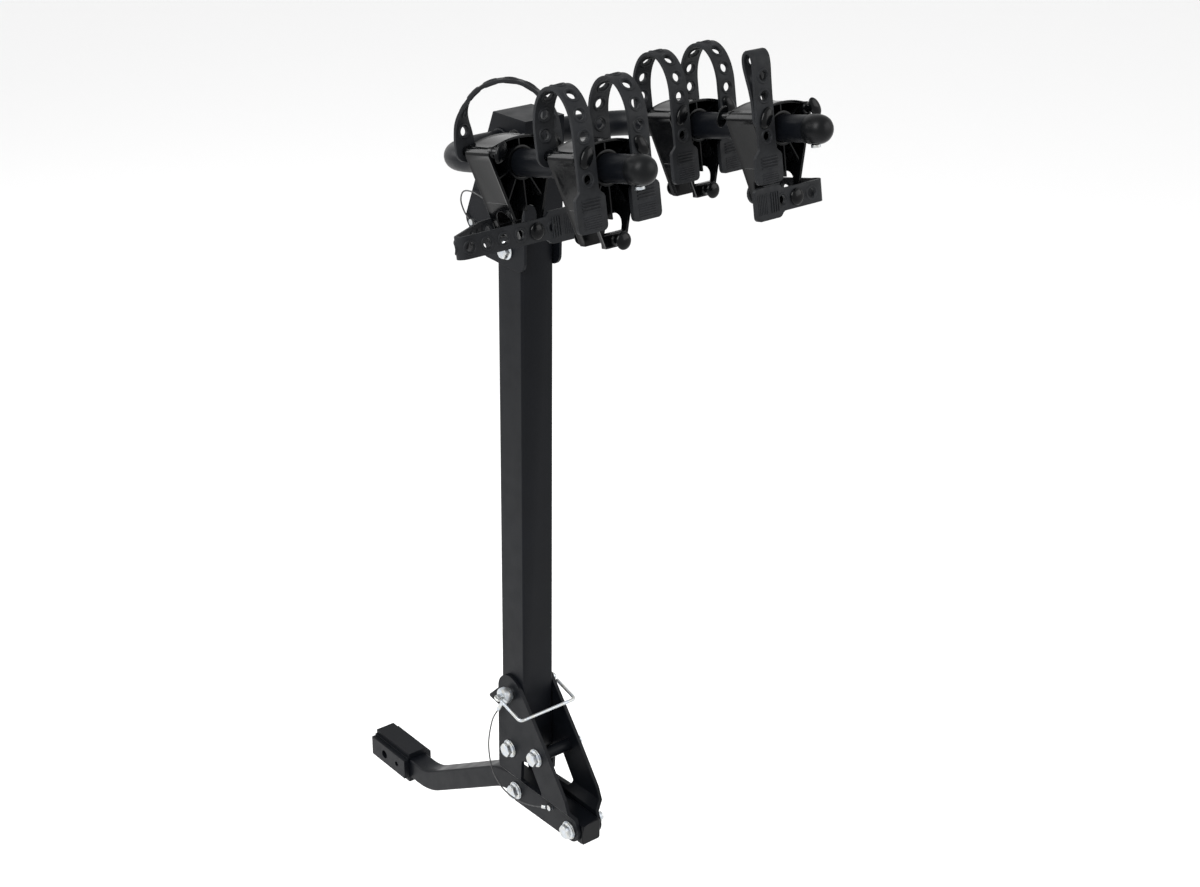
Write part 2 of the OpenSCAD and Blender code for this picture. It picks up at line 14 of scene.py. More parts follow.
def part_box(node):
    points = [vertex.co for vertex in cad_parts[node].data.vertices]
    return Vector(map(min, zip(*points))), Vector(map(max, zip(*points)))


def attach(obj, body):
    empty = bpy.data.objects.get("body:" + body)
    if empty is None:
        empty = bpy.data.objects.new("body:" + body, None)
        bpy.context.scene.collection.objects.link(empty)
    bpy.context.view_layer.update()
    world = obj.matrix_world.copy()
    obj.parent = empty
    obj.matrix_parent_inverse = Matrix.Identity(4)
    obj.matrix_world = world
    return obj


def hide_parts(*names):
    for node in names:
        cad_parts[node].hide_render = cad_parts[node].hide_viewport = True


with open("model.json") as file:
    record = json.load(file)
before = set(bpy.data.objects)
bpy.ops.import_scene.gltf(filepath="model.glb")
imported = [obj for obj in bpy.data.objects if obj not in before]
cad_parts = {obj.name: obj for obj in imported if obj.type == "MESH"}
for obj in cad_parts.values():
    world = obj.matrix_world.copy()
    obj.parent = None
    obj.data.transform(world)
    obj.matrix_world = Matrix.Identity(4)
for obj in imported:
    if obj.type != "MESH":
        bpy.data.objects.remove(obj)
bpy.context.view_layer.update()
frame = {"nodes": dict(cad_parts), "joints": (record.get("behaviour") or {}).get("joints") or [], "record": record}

bl_info = {
    "name": "Hitch Mounted Bike Rack",
    "version": (1, 0, 0),
    "blender": (4, 5, 0),
    "location": "View3D > Sidebar > Bike Rack",
    "description": "Finishes and details the pieces of a two-bicycle hitch rack",
    "category": "Object",
}

MM = 0.001
TUBE_RADIUS_MM = 15.875
TO_NEAR_SIDE = Matrix.Rotation(-math.pi / 2, 4, "Y")
TO_FAR_SIDE = Matrix.Rotation(math.pi / 2, 4, "Y")
RECORD = frame["record"]
JOINTS = {joint["name"]: joint for joint in frame["joints"]}
CRADLE_DEPTH_MM = 46.0
STUD_X_MM = 38.0
STUD_Z_MM = 18.0
FOOT_STUD_Z_MM = -78.0
FRONT_LEG_Y_MM = 56.0
REAR_LEG_Y_MM = -10.0
ARCH_SPRING_Z_MM = 45.0
ARCH_TOP_Z_MM = 92.0
END_COLUMNS = 9
RIM_WIDTH_MM = 2.1
RIM_RISE_MM = 1.2
RIM_TUBE_MM = 1.4
TAB_RISE_MM = 1.5
TAB_CORNER_MM = 6.0


# ---------------------------------------------------------------- settings

class RackSizes(bpy.types.PropertyGroup):
    """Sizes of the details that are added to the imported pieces"""

    strap_width: bpy.props.FloatProperty(
        name="Strap width", description="Width of a rubber strap",
        default=0.026, min=0.02, max=0.03, unit="LENGTH")
    strap_thickness: bpy.props.FloatProperty(
        name="Strap thickness", description="Thickness of a rubber strap",
        default=0.004, min=0.003, max=0.005, unit="LENGTH")
    hole_pitch: bpy.props.FloatProperty(
        name="Hole pitch", description="Distance between two holes of a strap",
        default=0.024, min=0.02, max=0.03, unit="LENGTH")
    hole_diameter: bpy.props.FloatProperty(
        name="Hole diameter", description="Diameter of a strap's holes",
        default=0.0108, min=0.009, max=0.012, unit="LENGTH")
    edge_radius: bpy.props.FloatProperty(
        name="Edge radius", description="Rounding of the edges of sheet and tube",
        default=0.0008, min=0.0003, max=0.002, unit="LENGTH")
    mast_corner: bpy.props.FloatProperty(
        name="Mast corner radius", description="Rounding of the mast tube's long corners",
        default=0.0036, min=0.001, max=0.006, unit="LENGTH")
    shank_corner: bpy.props.FloatProperty(
        name="Shank corner radius", description="Rounding of the shank's long corners",
        default=0.0028, min=0.001, max=0.004, unit="LENGTH")
    floor_drop: bpy.props.FloatProperty(
        name="Floor below hitch", description="Height of the hitch pin hole over the floor",
        default=0.45, min=0.3, max=0.6, unit="LENGTH")


class RackColours(bpy.types.PropertyGroup):
    """Colours of the finishes"""

    coat: bpy.props.FloatVectorProperty(
        name="Powder coat", description="Colour of the coated steel",
        default=(0.0030, 0.0036, 0.0050), size=3, min=0.0, max=1.0, subtype="COLOR")
    plastic: bpy.props.FloatVectorProperty(
        name="Cradle plastic", description="Colour of the cradles and end caps",
        default=(0.0016, 0.0018, 0.0021), size=3, min=0.0, max=1.0, subtype="COLOR")
    rubber: bpy.props.FloatVectorProperty(
        name="Rubber", description="Colour of the straps",
        default=(0.0060, 0.0068, 0.0082), size=3, min=0.0, max=1.0, subtype="COLOR")
    zinc: bpy.props.FloatVectorProperty(
        name="Zinc plating", description="Colour of the plated fasteners",
        default=(0.5, 0.515, 0.53), size=3, min=0.0, max=1.0, subtype="COLOR")
    floor: bpy.props.FloatVectorProperty(
        name="Floor", description="Colour of the studio floor",
        default=(0.93, 0.93, 0.93), size=3, min=0.0, max=1.0, subtype="COLOR")


# ---------------------------------------------------------------- materials

def material_nodes(name, colour, roughness, metallic=0.0, specular=0.5):
    """A new node material with its shader's uniform values set."""
    material = bpy.data.materials.new(name)
    material.use_nodes = True
    material.diffuse_color = (*colour, 1.0)
    tree = material.node_tree
    shader = tree.nodes["Principled BSDF"]
    shader.inputs["Base Color"].default_value = (*colour, 1.0)
    shader.inputs["Roughness"].default_value = roughness
    shader.inputs["Metallic"].default_value = metallic
    shader.inputs["Specular IOR Level"].default_value = specular
    return material, tree, shader


def add_noise(tree, scale, detail=3.0, stretch=(1.0, 1.0, 1.0)):
    """A noise pattern on the piece's own coordinates; scale is in features per metre."""
    place = tree.nodes.new("ShaderNodeTexCoord")
    mapping = tree.nodes.new("ShaderNodeMapping")
    mapping.inputs["Scale"].default_value = stretch
    noise = tree.nodes.new("ShaderNodeTexNoise")
    noise.inputs["Scale"].default_value = scale
    noise.inputs["Detail"].default_value = detail
    tree.links.new(place.outputs["Object"], mapping.inputs["Vector"])
    tree.links.new(mapping.outputs["Vector"], noise.inputs["Vector"])
    return noise.outputs["Fac"]


def map_range(tree, value, low, high):
    """The middle of a noise pattern's values spread over a new range."""
    node = tree.nodes.new("ShaderNodeMapRange")
    node.inputs["From Min"].default_value = 0.3
    node.inputs["From Max"].default_value = 0.7
    node.inputs["To Min"].default_value = low
    node.inputs["To Max"].default_value = high
    tree.links.new(value, node.inputs["Value"])
    return node.outputs["Result"]


def vary_colour(tree, shader, value, dark, light):
    """Blends the base colour between two shades."""
    ramp = tree.nodes.new("ShaderNodeValToRGB")
    ramp.color_ramp.elements[0].position = 0.35
    ramp.color_ramp.elements[1].position = 0.68
    ramp.color_ramp.elements[0].color = (*dark, 1.0)
    ramp.color_ramp.elements[1].color = (*light, 1.0)
    tree.links.new(value, ramp.inputs["Fac"])
    tree.links.new(ramp.outputs["Color"], shader.inputs["Base Color"])


def add_bump(tree, shader, value, depth):
    """A bump of the depth given, in metres."""
    bump = tree.nodes.new("ShaderNodeBump")
    bump.inputs["Strength"].default_value = 1.0
    bump.inputs["Distance"].default_value = depth
    tree.links.new(value, bump.inputs["Height"])
    tree.links.new(bump.outputs["Normal"], shader.inputs["Normal"])


def vary_roughness(tree, shader, scale, low, high):
    """Clouds the roughness between two values; scale is in features per metre."""
    cloud = map_range(tree, add_noise(tree, scale), low, high)
    tree.links.new(cloud, shader.inputs["Roughness"])


def shade(colour, factor):
    """The colour made lighter or darker by a factor."""
    return tuple(min(1.0, part * factor) for part in colour)


def powder_coat(colour):
    """Satin black powder coat with a fine orange peel."""
    material, tree, shader = material_nodes("black_powder_coat", colour, 0.4, specular=0.1)
    vary_colour(tree, shader, add_noise(tree, 9.0), shade(colour, 0.82), shade(colour, 1.22))
    vary_roughness(tree, shader, 40.0, 0.33, 0.46)
    add_bump(tree, shader, add_noise(tree, 620.0, 2.0), 0.00009)
    return material


def moulded_plastic(name, colour, low, high):
    """Moulded plastic with slight flow marks, its roughness between two values."""
    material, tree, shader = material_nodes(name, colour, low, specular=0.13)
    flow = add_noise(tree, 16.0, 2.0, (1.0, 1.0, 3.0))
    vary_colour(tree, shader, flow, shade(colour, 0.85), shade(colour, 1.25))
    vary_roughness(tree, shader, 70.0, low, high)
    add_bump(tree, shader, add_noise(tree, 240.0, 2.0), 0.00006)
    return material


def strap_rubber(colour):
    """Matte charcoal rubber with a fine grain and a trace of bloom."""
    material, tree, shader = material_nodes("strap_rubber", colour, 0.6, specular=0.2)
    bloom = add_noise(tree, 38.0, 4.0)
    vary_colour(tree, shader, bloom, shade(colour, 0.8), shade(colour, 1.3))
    vary_roughness(tree, shader, 110.0, 0.5, 0.68)
    add_bump(tree, shader, add_noise(tree, 1500.0, 2.0), 0.00006)
    return material


def zinc_plate(colour):
    """Bright zinc plating, faintly clouded between a warm and a cool tone."""
    material, tree, shader = material_nodes("zinc", colour, 0.3, metallic=1.0)
    warm = (colour[0], colour[1] * 0.97, colour[2] * 0.9)
    cool = (colour[0] * 0.94, colour[1] * 0.99, min(1.0, colour[2] * 1.06))
    vary_colour(tree, shader, add_noise(tree, 120.0), warm, cool)
    vary_roughness(tree, shader, 300.0, 0.3, 0.46)
    add_bump(tree, shader, add_noise(tree, 900.0, 2.0), 0.00004)
    return material


def cable_jacket():
    """Black vinyl over a stranded steel cable; the lay of the strands shows through."""
    material, tree, shader = material_nodes("cable_jacket", (0.016, 0.016, 0.017), 0.35)
    vary_roughness(tree, shader, 200.0, 0.28, 0.45)
    add_bump(tree, shader, add_noise(tree, 1400.0, 1.0, (1.0, 1.0, 0.35)), 0.00015)
    return material


FINISH = {}


def make_finishes(colours):
    """Fills the table from the record's material slots to materials."""
    plastic = tuple(colours.plastic)
    FINISH["black_powder_coat"] = powder_coat(tuple(colours.coat))
    FINISH["cradle_plastic"] = moulded_plastic("cradle_plastic", plastic, 0.12, 0.24)
    FINISH["cap_plastic"] = moulded_plastic("cap_plastic", shade(plastic, 1.6), 0.3, 0.42)
    FINISH["rubber"] = strap_rubber(tuple(colours.rubber))
    FINISH["zinc"] = zinc_plate(tuple(colours.zinc))
    FINISH["cable_jacket"] = cable_jacket()


# ---------------------------------------------------------------- modelling helpers

def deselect_all():
    """Leaves edit mode and deselects every object."""
    if bpy.context.object and bpy.context.object.mode != "OBJECT":
        bpy.ops.object.mode_set(mode="OBJECT")
    bpy.ops.object.select_all(action="DESELECT")


def make_active(obj):
    """Makes an object the only one selected."""
    deselect_all()
    obj.select_set(True)
    bpy.context.view_layer.objects.active = obj


@contextmanager
def edit_mode(obj, kind=None):
    """Edits all of a mesh, or with a kind the faces or edges that are already picked."""
    make_active(obj)
    bpy.ops.object.mode_set(mode="EDIT")
    if kind:
        bpy.ops.mesh.select_mode(type=kind)
    else:
        bpy.ops.mesh.select_all(action="SELECT")
    yield
    bpy.ops.object.mode_set(mode="OBJECT")


def clear_picks(mesh):
    """Deselects every face, edge and vertex of a mesh."""
    for group in (mesh.polygons, mesh.edges, mesh.vertices):
        group.foreach_set("select", [False] * len(group))


def apply_modifier(obj, kind, **settings):
    """Adds a modifier with the settings given and applies it."""
    make_active(obj)
    modifier = obj.modifiers.new(kind.lower(), kind)
    for key, value in settings.items():
        setattr(modifier, key, value)
    bpy.ops.object.modifier_apply(modifier=modifier.name)


def place_in_mesh(obj, matrix=None):
    """Puts the object's own place, and then the matrix given, into its mesh."""
    make_active(obj)
    bpy.ops.object.transform_apply(location=True, rotation=True, scale=True)
    if matrix is not None:
        obj.data.transform(matrix)


def join(parts, name):
    """Joins mesh objects into one piece with the name given."""
    deselect_all()
    for part in parts:
        part.select_set(True)
    bpy.context.view_layer.objects.active = parts[0]
    if len(parts) > 1:
        bpy.ops.object.join()
    parts[0].name = name
    parts[0].data.name = name
    return parts[0]


def smooth(obj, degrees=35.0):
    """Shades an object smooth, apart from edges sharper than the angle."""
    make_active(obj)
    bpy.ops.object.shade_smooth_by_angle(angle=math.radians(degrees))


def flatten_faces(obj):
    """Lets the large faces set the shading normals, so they look flat up to their edges."""
    apply_modifier(obj, "WEIGHTED_NORMAL", keep_sharp=True, weight=100)


def finish_piece(piece, body, slot, replaced=()):
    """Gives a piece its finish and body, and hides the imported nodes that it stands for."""
    piece.data.materials.clear()
    piece.data.materials.append(FINISH[slot])
    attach(piece, body)
    if replaced:
        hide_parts(*replaced)


def slot_of(node):
    """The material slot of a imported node."""
    return next(part["material_slot"] for part in RECORD["subparts"] if part["node"] == node)


def body_of(node):
    """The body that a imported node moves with."""
    bodies = RECORD["behaviour"]["bodies"]
    return next(name for name, nodes in bodies.items() if node in nodes)


def merged_copy(node, name):
    """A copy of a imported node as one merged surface, with its flat faces made whole."""
    copy = bpy.data.objects.new(name, frame["nodes"][node].data.copy())
    bpy.context.scene.collection.objects.link(copy)
    with edit_mode(copy):
        bpy.ops.mesh.remove_doubles(threshold=0.00001)
        bpy.ops.mesh.dissolve_limited(angle_limit=math.radians(0.4))
    return copy


def bevel_edges(obj, width, segments, degrees):
    """Rounds the edges that are sharper than the angle."""
    apply_modifier(
        obj, "BEVEL", width=width, segments=segments, limit_method="ANGLE",
        angle_limit=math.radians(degrees), use_clamp_overlap=True)


def round_edges(piece, radius, segments=2):
    """Rounds the sharp edges of a finished shape and keeps its large faces flat."""
    bevel_edges(piece, radius, segments, 30.0)
    smooth(piece)
    flatten_faces(piece)


def replace_node(piece, node):
    """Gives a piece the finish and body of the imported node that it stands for."""
    finish_piece(piece, body_of(node), slot_of(node), (node,))


def rounded_node(node, radius):
    """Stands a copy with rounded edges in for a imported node."""
    piece = merged_copy(node, node + "_rounded")
    round_edges(piece, radius)
    replace_node(piece, node)


def box(size, middle):
    """A box round its middle, both in metres."""
    bpy.ops.object.select_all(action="DESELECT")
    bpy.ops.mesh.primitive_cube_add(size=1.0, location=middle)
    block = bpy.context.object
    block.scale = size
    place_in_mesh(block)
    return block


def cylinder(count, radius, depth, middle, turn=(0.0, 0.0, 0.0)):
    """A cylinder with a count of sides, all in metres and radians."""
    bpy.ops.object.select_all(action="DESELECT")
    bpy.ops.mesh.primitive_cylinder_add(
        vertices=count, radius=radius, depth=depth, location=middle, rotation=turn)
    rod = bpy.context.object
    place_in_mesh(rod)
    return rod


def torus(count, radius, tube_radius):
    """A ring about Z with a count of segments, in metres."""
    bpy.ops.object.select_all(action="DESELECT")
    bpy.ops.mesh.primitive_torus_add(
        major_segments=count, minor_segments=8, major_radius=radius, minor_radius=tube_radius)
    return bpy.context.object


def carve(obj, tool, operation="DIFFERENCE"):
    """Cuts a shape with another one, which is used up."""
    apply_modifier(obj, "BOOLEAN", operation=operation, object=tool, solver="EXACT")
    bpy.data.objects.remove(tool)


def roll_edges(obj, radius, wanted):
    """Rounds the edges whose two ends pass the test."""
    mesh = obj.data
    clear_picks(mesh)
    for edge in mesh.edges:
        edge.select = wanted(*(mesh.vertices[i].co for i in edge.vertices))
    with edit_mode(obj, "EDGE"):
        bpy.ops.mesh.bevel(offset=radius, segments=5, profile=0.5)


def loose_boxes(node):
    """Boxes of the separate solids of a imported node, as pairs of low and high corners."""
    copy = merged_copy(node, "parts_of_" + node)
    group = list(range(len(copy.data.vertices)))

    def root(i):
        while group[i] != i:
            group[i] = group[group[i]]
            i = group[i]
        return i

    for edge in copy.data.edges:
        a, b = root(edge.vertices[0]), root(edge.vertices[1])
        group[b] = a
    solids = {}
    for vertex in copy.data.vertices:
        solids.setdefault(root(vertex.index), []).append(vertex.co.copy())
    bpy.data.objects.remove(copy)
    boxes = [(
        Vector([min(point[k] for point in points) for k in range(3)]),
        Vector([max(point[k] for point in points) for k in range(3)]))
        for points in solids.values()]
    return sorted(boxes, key=lambda box: (round(box[0].z, 4), round(box[0].y, 4)))


def outline_loop(name, points):
    """A closed loop of edges in the X-Z plane through the points given, in millimetres."""
    bpy.ops.object.select_all(action="DESELECT")
    bpy.ops.mesh.primitive_circle_add(vertices=len(points), fill_type="NOTHING")
    loop = bpy.context.object
    loop.name = name
    for vertex, (x, z) in zip(loop.data.vertices, points):
        vertex.co = (x * MM, 0.0, z * MM)
    return loop


def outward(obj):
    """Turns the faces of closed shells outwards."""
    with edit_mode(obj):
        bpy.ops.mesh.normals_make_consistent(inside=False)


def band(name, outer, inner, y0, y1):
    """A closed band between two outlines with equal counts of points, from y0 to y1 in mm."""
    loop = outline_loop(name, outer)
    target = {(round(x, 3), round(z, 3)): place for (x, z), place in zip(outer, inner)}
    with edit_mode(loop):
        bpy.ops.mesh.extrude_edges_move()
    for vertex in list(loop.data.vertices)[len(outer):]:
        x, z = target[(round(vertex.co.x / MM, 3), round(vertex.co.z / MM, 3))]
        vertex.co = (x * MM, 0.0, z * MM)
    with edit_mode(loop):
        bpy.ops.mesh.extrude_region_move(
            TRANSFORM_OT_translate={"value": (0.0, (y1 - y0) * MM, 0.0)})
    loop.location = (0.0, y0 * MM, 0.0)
    place_in_mesh(loop)
    outward(loop)
    return loop


def sink_faces(obj, chosen, border, depth):
    """Insets the faces that the test picks as one region each and sinks them."""
    clear_picks(obj.data)
    for face in obj.data.polygons:
        face.select = chosen(face)
    with edit_mode(obj, "FACE"):
        bpy.ops.mesh.inset(thickness=border, depth=-depth, use_boundary=True)


def spun(name, profile, steps=36, matrix=None):
    """A solid turned about Z from a closed profile of (radius, height) points, in mm."""
    loop = outline_loop(name, profile)
    with edit_mode(loop):
        bpy.ops.mesh.spin(
            steps=steps, angle=2 * math.pi, center=(0.0, 0.0, 0.0), axis=(0.0, 0.0, 1.0))
        bpy.ops.mesh.select_all(action="SELECT")
        bpy.ops.mesh.remove_doubles(threshold=0.000005)
        bpy.ops.mesh.dissolve_degenerate(threshold=0.000005)
        bpy.ops.mesh.select_all(action="SELECT")
        bpy.ops.mesh.normals_make_consistent(inside=False)
    if matrix is not None:
        loop.data.transform(matrix)
    return loop


# ---------------------------------------------------------------- straps

def cradle_frame(cradle):
    """Matrix from a cradle's own frame, in metres, to the rack's frame."""
    joint = JOINTS[cradle + "_turn"]
    towards_car = -Vector(joint["axis"])
    across = Vector((1.0, 0.0, 0.0))
    up = across.cross(towards_car)
    origin = Vector(joint["pos_m"]) - towards_car * CRADLE_DEPTH_MM / 2 * MM
    return Matrix((
        (across.x, towards_car.x, up.x, origin.x),
        (across.y, towards_car.y, up.y, origin.y),
        (across.z, towards_car.z, up.z, origin.z),
        (0.0, 0.0, 0.0, 1.0)))


class Route:
    """A strap's middle line with the direction of its width at each point."""

    def __init__(self, points, widths):
        self.points = [Vector(point) * MM for point in points]
        self.widths = [Vector(width).normalized() for width in widths]
        self.lengths = [0.0]
        for a, b in zip(self.points, self.points[1:]):
            self.lengths.append(self.lengths[-1] + (b - a).length)
        self.total = self.lengths[-1]

    def tangent(self, i):
        last = len(self.points) - 1
        return (self.points[min(i + 1, last)] - self.points[max(i - 1, 0)]).normalized()

    def bend(self, u, across, out):
        """Place of a flat strap's point: u along it, across its width, out of its face."""
        i = 0
        while i < len(self.lengths) - 2 and self.lengths[i + 1] < u:
            i += 1
        t = (u - self.lengths[i]) / (self.lengths[i + 1] - self.lengths[i])
        point = self.points[i].lerp(self.points[i + 1], t)
        along = self.tangent(i).lerp(self.tangent(i + 1), max(0.0, min(1.0, t))).normalized()
        width = self.widths[i].lerp(self.widths[i + 1], t)
        width = (width - along * width.dot(along)).normalized()
        return point + width * across + along.cross(width) * out

    def folded(self, u):
        """Whether the strap turns sharply within a hole's width of this distance."""
        reach = 0.008
        a = self.bend(max(0.0, u - reach), 0.0, 0.0)
        b = self.bend(u, 0.0, 0.0)
        c = self.bend(min(self.total, u + reach), 0.0, 0.0)
        return (b - a).angle(c - b) > math.radians(32)

    def nearest(self, target):
        """Distance along the strap of its point that is nearest to the target, in mm."""
        target = Vector(target) * MM
        distances = [(point - target).length for point in self.points]
        return self.lengths[distances.index(min(distances))]


def dense(points, step_mm=2.0):
    """A polyline's points with more of them in between."""
    out = []
    for a, b in zip(points, points[1:]):
        a, b = Vector(a), Vector(b)
        count = max(1, round((b - a).length / step_mm))
        out += [a.lerp(b, i / count) for i in range(count)]
    return out + [Vector(points[-1])]


def flat_strap(name, columns, half_width, thickness):
    """Flat strap along X; the functions give its half width and thickness along it."""
    bpy.ops.object.select_all(action="DESELECT")
    bpy.ops.mesh.primitive_grid_add(x_subdivisions=len(columns) - 1, y_subdivisions=4, size=1.0)
    strap = bpy.context.object
    strap.name = name
    for vertex in strap.data.vertices:
        u = columns[round((vertex.co.x + 0.5) * (len(columns) - 1))]
        vertex.co = (u, vertex.co.y * 2 * half_width(u), 0.0)
    apply_modifier(strap, "SOLIDIFY", thickness=0.001, offset=0.0)
    for vertex in strap.data.vertices:
        vertex.co.z *= thickness(vertex.co.x) / 0.001
    bevel_edges(strap, 0.0009, 3, 50)
    return strap


def cut_holes(strap, places, diameter):
    """Cuts round holes through a flat strap at the distances given."""
    drills = [cylinder(28, diameter / 2, 0.03, (u, 0.0, 0.0)) for u in places]
    carve(strap, join(drills, "drills"))


def rim(u, hole_diameter, face):
    """Raised ring round a hole, on the strap's outer face or its inner one."""
    ring = torus(28, hole_diameter / 2 + RIM_WIDTH_MM * MM, RIM_TUBE_MM * MM)
    ring.location = (u, 0.0, face)
    ring.scale = (1.0, 1.0, RIM_RISE_MM / RIM_TUBE_MM)
    place_in_mesh(ring)
    return ring


def ridge(u, half_length, face):
    """Raised grip line across a tab."""
    bar = box((0.0019, 2 * half_length, 0.0026), (u, 0.0, face))
    apply_modifier(bar, "BEVEL", width=0.0006, segments=2, limit_method="NONE")
    return bar


def rounded_end(u, end, half):
    """Half width of a strip with a half-round end."""
    inside = min(half, max(0.0, abs(u - end)))
    return max(0.0025, math.sqrt(half * half - (half - inside) ** 2))


def strap_columns(length, half):
    """Places along a strap: close together at its round end, then every 3 mm."""
    ends = [half * (1 - math.cos(math.pi / 2 * i / END_COLUMNS)) for i in range(END_COLUMNS)]
    steps = max(2, round((length - half) / 0.003))
    return ends + [half + (length - half) * i / steps for i in range(steps + 1)]


def smooth_step(x, low, high):
    """Rises gently from 0 at the low value to 1 at the high one."""
    t = max(0.0, min(1.0, (x - low) / (high - low)))
    return t * t * (3 - 2 * t)


def on_stud(u, studs):
    """Whether a stud fills the hole at this distance."""
    return min(abs(u - stud) for stud in studs) < 0.002


def hole_places(sizes, route, studs, tab_mm):
    """Distances of a strap's holes: some of them sit on the studs."""
    first, last = min(studs), max(studs)
    count = max(1, round((last - first) / sizes.hole_pitch))
    pitch = (last - first) / count
    holes = [first + pitch * i for i in range(count + 1)]
    if tab_mm:
        holes.append(last + pitch)
    return [u for u in holes if not route.folded(u) or on_stud(u, studs)]


def build_strap(sizes, name, route, studs, tab_mm=0.0, tab_width_mm=0.0):
    """A strap bent along its route. Studs are the distances of the holes that hold it."""
    half = sizes.strap_width / 2
    thick = sizes.strap_thickness
    length = route.total
    tab_start = length - tab_mm * MM
    tab_half = tab_width_mm / 2 * MM
    tab_rise = TAB_RISE_MM * MM
    corner = TAB_CORNER_MM * MM

    def half_width(u):
        body = rounded_end(u, 0.0, half)
        if not tab_mm:
            return min(body, rounded_end(u, length, half))
        tab = body + (tab_half - half) * smooth_step(u, tab_start - 0.004, tab_start + 0.004)
        inside = min(corner, max(0.0, length - u))
        return tab - corner + math.sqrt(max(0.0, corner ** 2 - (corner - inside) ** 2))

    def thickness(u):
        return thick + (tab_rise * smooth_step(u, tab_start, tab_start + 0.006) if tab_mm else 0.0)

    columns = strap_columns(length, half)
    if tab_mm:
        columns = columns[:-1] + [length - d for d in (0.0026, 0.0012, 0.0004, 0.0)]
    else:
        ends = columns[:END_COLUMNS]
        columns = ends + [u for u in columns[END_COLUMNS:] if u < length - half]
        columns += [length - u for u in ends]
    strap = flat_strap(name, sorted(set(columns)), half_width, thickness)
    holes = hole_places(sizes, route, studs, tab_mm)
    cut_holes(strap, holes, sizes.hole_diameter)

    parts = [strap]
    for u in holes:
        if not on_stud(u, studs):
            parts += [rim(u, sizes.hole_diameter, side * thick / 2) for side in (1, -1)]
    if tab_mm:
        face = (thick + tab_rise) / 2
        grip = tab_half * 0.62
        parts += [ridge(tab_start + 0.006 + i * 0.0036, grip, face) for i in range(4)]
        parts += [ridge(tab_start + 0.024 + i * 0.0026, grip, face - 0.0007) for i in range(6)]
    piece = join(parts, name)
    for vertex in piece.data.vertices:
        vertex.co = route.bend(vertex.co.x, vertex.co.y, vertex.co.z)
    return piece


def fit_strap(piece, cradle, node):
    """Puts a strap made in its cradle's own frame in its place on the rack."""
    place_in_mesh(piece, cradle_frame(cradle))
    smooth(piece, 50.0)
    finish_piece(piece, cradle, "rubber", (node,))


def arch_points(a, b, feet):
    """Foot, arch and foot between two standing legs, in a cradle's frame."""
    middle = ((a[0] + b[0]) / 2, (a[1] + b[1]) / 2)
    rise = ARCH_TOP_Z_MM - ARCH_SPRING_Z_MM
    turns = 40
    arc = []
    for i in range(turns + 1):
        angle = math.pi * i / turns
        lean = math.cos(angle)
        arc.append((
            middle[0] + (a[0] - middle[0]) * lean,
            middle[1] + (a[1] - middle[1]) * lean,
            ARCH_SPRING_Z_MM + rise * math.sin(angle)))
    first_leg = dense([(a[0], a[1], feet[0]), arc[0]])
    last_leg = dense([arc[-1], (b[0], b[1], feet[1])])
    return first_leg + arc[1:-1] + last_leg


def saddle_strap(sizes, name, node, cradle, x):
    """Strap over a saddle in line with the arm, with its pull tab behind the cradle."""
    points = arch_points((x, FRONT_LEG_Y_MM), (x, REAR_LEG_Y_MM), (5.0, -62.0))
    route = Route(points, [(1.0, 0.0, 0.0)] * len(points))
    studs = [route.nearest((x, y, STUD_Z_MM)) for y in (FRONT_LEG_Y_MM, REAR_LEG_Y_MM)]
    fit_strap(build_strap(sizes, name, route, studs, 41.0, 40.0), cradle, node)


def cross_strap(sizes, name, node, cradle):
    """Strap from the front left stud, twisting over the saddle to the rear right stud."""
    a, b = (-STUD_X_MM, FRONT_LEG_Y_MM), (STUD_X_MM, REAR_LEG_Y_MM)
    points = arch_points(a, b, (5.0, 5.0))
    square_on = Vector((a[1] - b[1], b[0] - a[0], 0.0)).normalized()
    widths = []
    for point in points:
        turned = smooth_step(point[2], STUD_Z_MM + 4.0, ARCH_TOP_Z_MM - 12.0)
        widths.append(Vector((1.0, 0.0, 0.0)).lerp(square_on, turned))
    route = Route(points, widths)
    half = len(points) // 2
    studs = [route.lengths[min(leg, key=lambda i: abs(points[i][2] - STUD_Z_MM))]
             for leg in (range(half), range(half, len(points)))]
    fit_strap(build_strap(sizes, name, route, studs), cradle, node)


def curved(points, steps=6):
    """Points of a smooth curve through the points given."""
    out = []
    points = [Vector(point) for point in points]
    last = len(points) - 1
    for i in range(last):
        a, b, c, d = points[max(i - 1, 0)], points[i], points[i + 1], points[min(i + 2, last)]
        for j in range(steps):
            t = j / steps
            out.append(0.5 * (2 * b + (c - a) * t + (2 * a - 5 * b + 4 * c - d) * t * t
                              + (3 * b - a - 3 * c + d) * t ** 3))
    return out + [points[-1]]


STOWED_LOOP_YZ_MM = (
    (-5.4, 5), (-5.4, 30), (-3, 48), (1, 64), (4, 78), (3, 88), (-3, 92.5),
    (-9, 88), (-11, 78), (-10.6, 62), (-10.1, 44), (-10, 20), (-10, -22), (-10, -56))


def stowed_strap(sizes, name, node, cradle, x):
    """Strap folded into a narrow upright loop, both its legs on the rear stud."""
    points = curved([(x, y, z) for y, z in STOWED_LOOP_YZ_MM])
    route = Route(points, [(1.0, 0.0, 0.0)] * len(points))
    first = min(range(len(points) // 3), key=lambda i: abs(points[i].z - STUD_Z_MM))
    stud = route.nearest((x, REAR_LEG_Y_MM, STUD_Z_MM))
    piece = build_strap(sizes, name, route, [route.lengths[first], stud], 35.0, 40.0)
    fit_strap(piece, cradle, node)


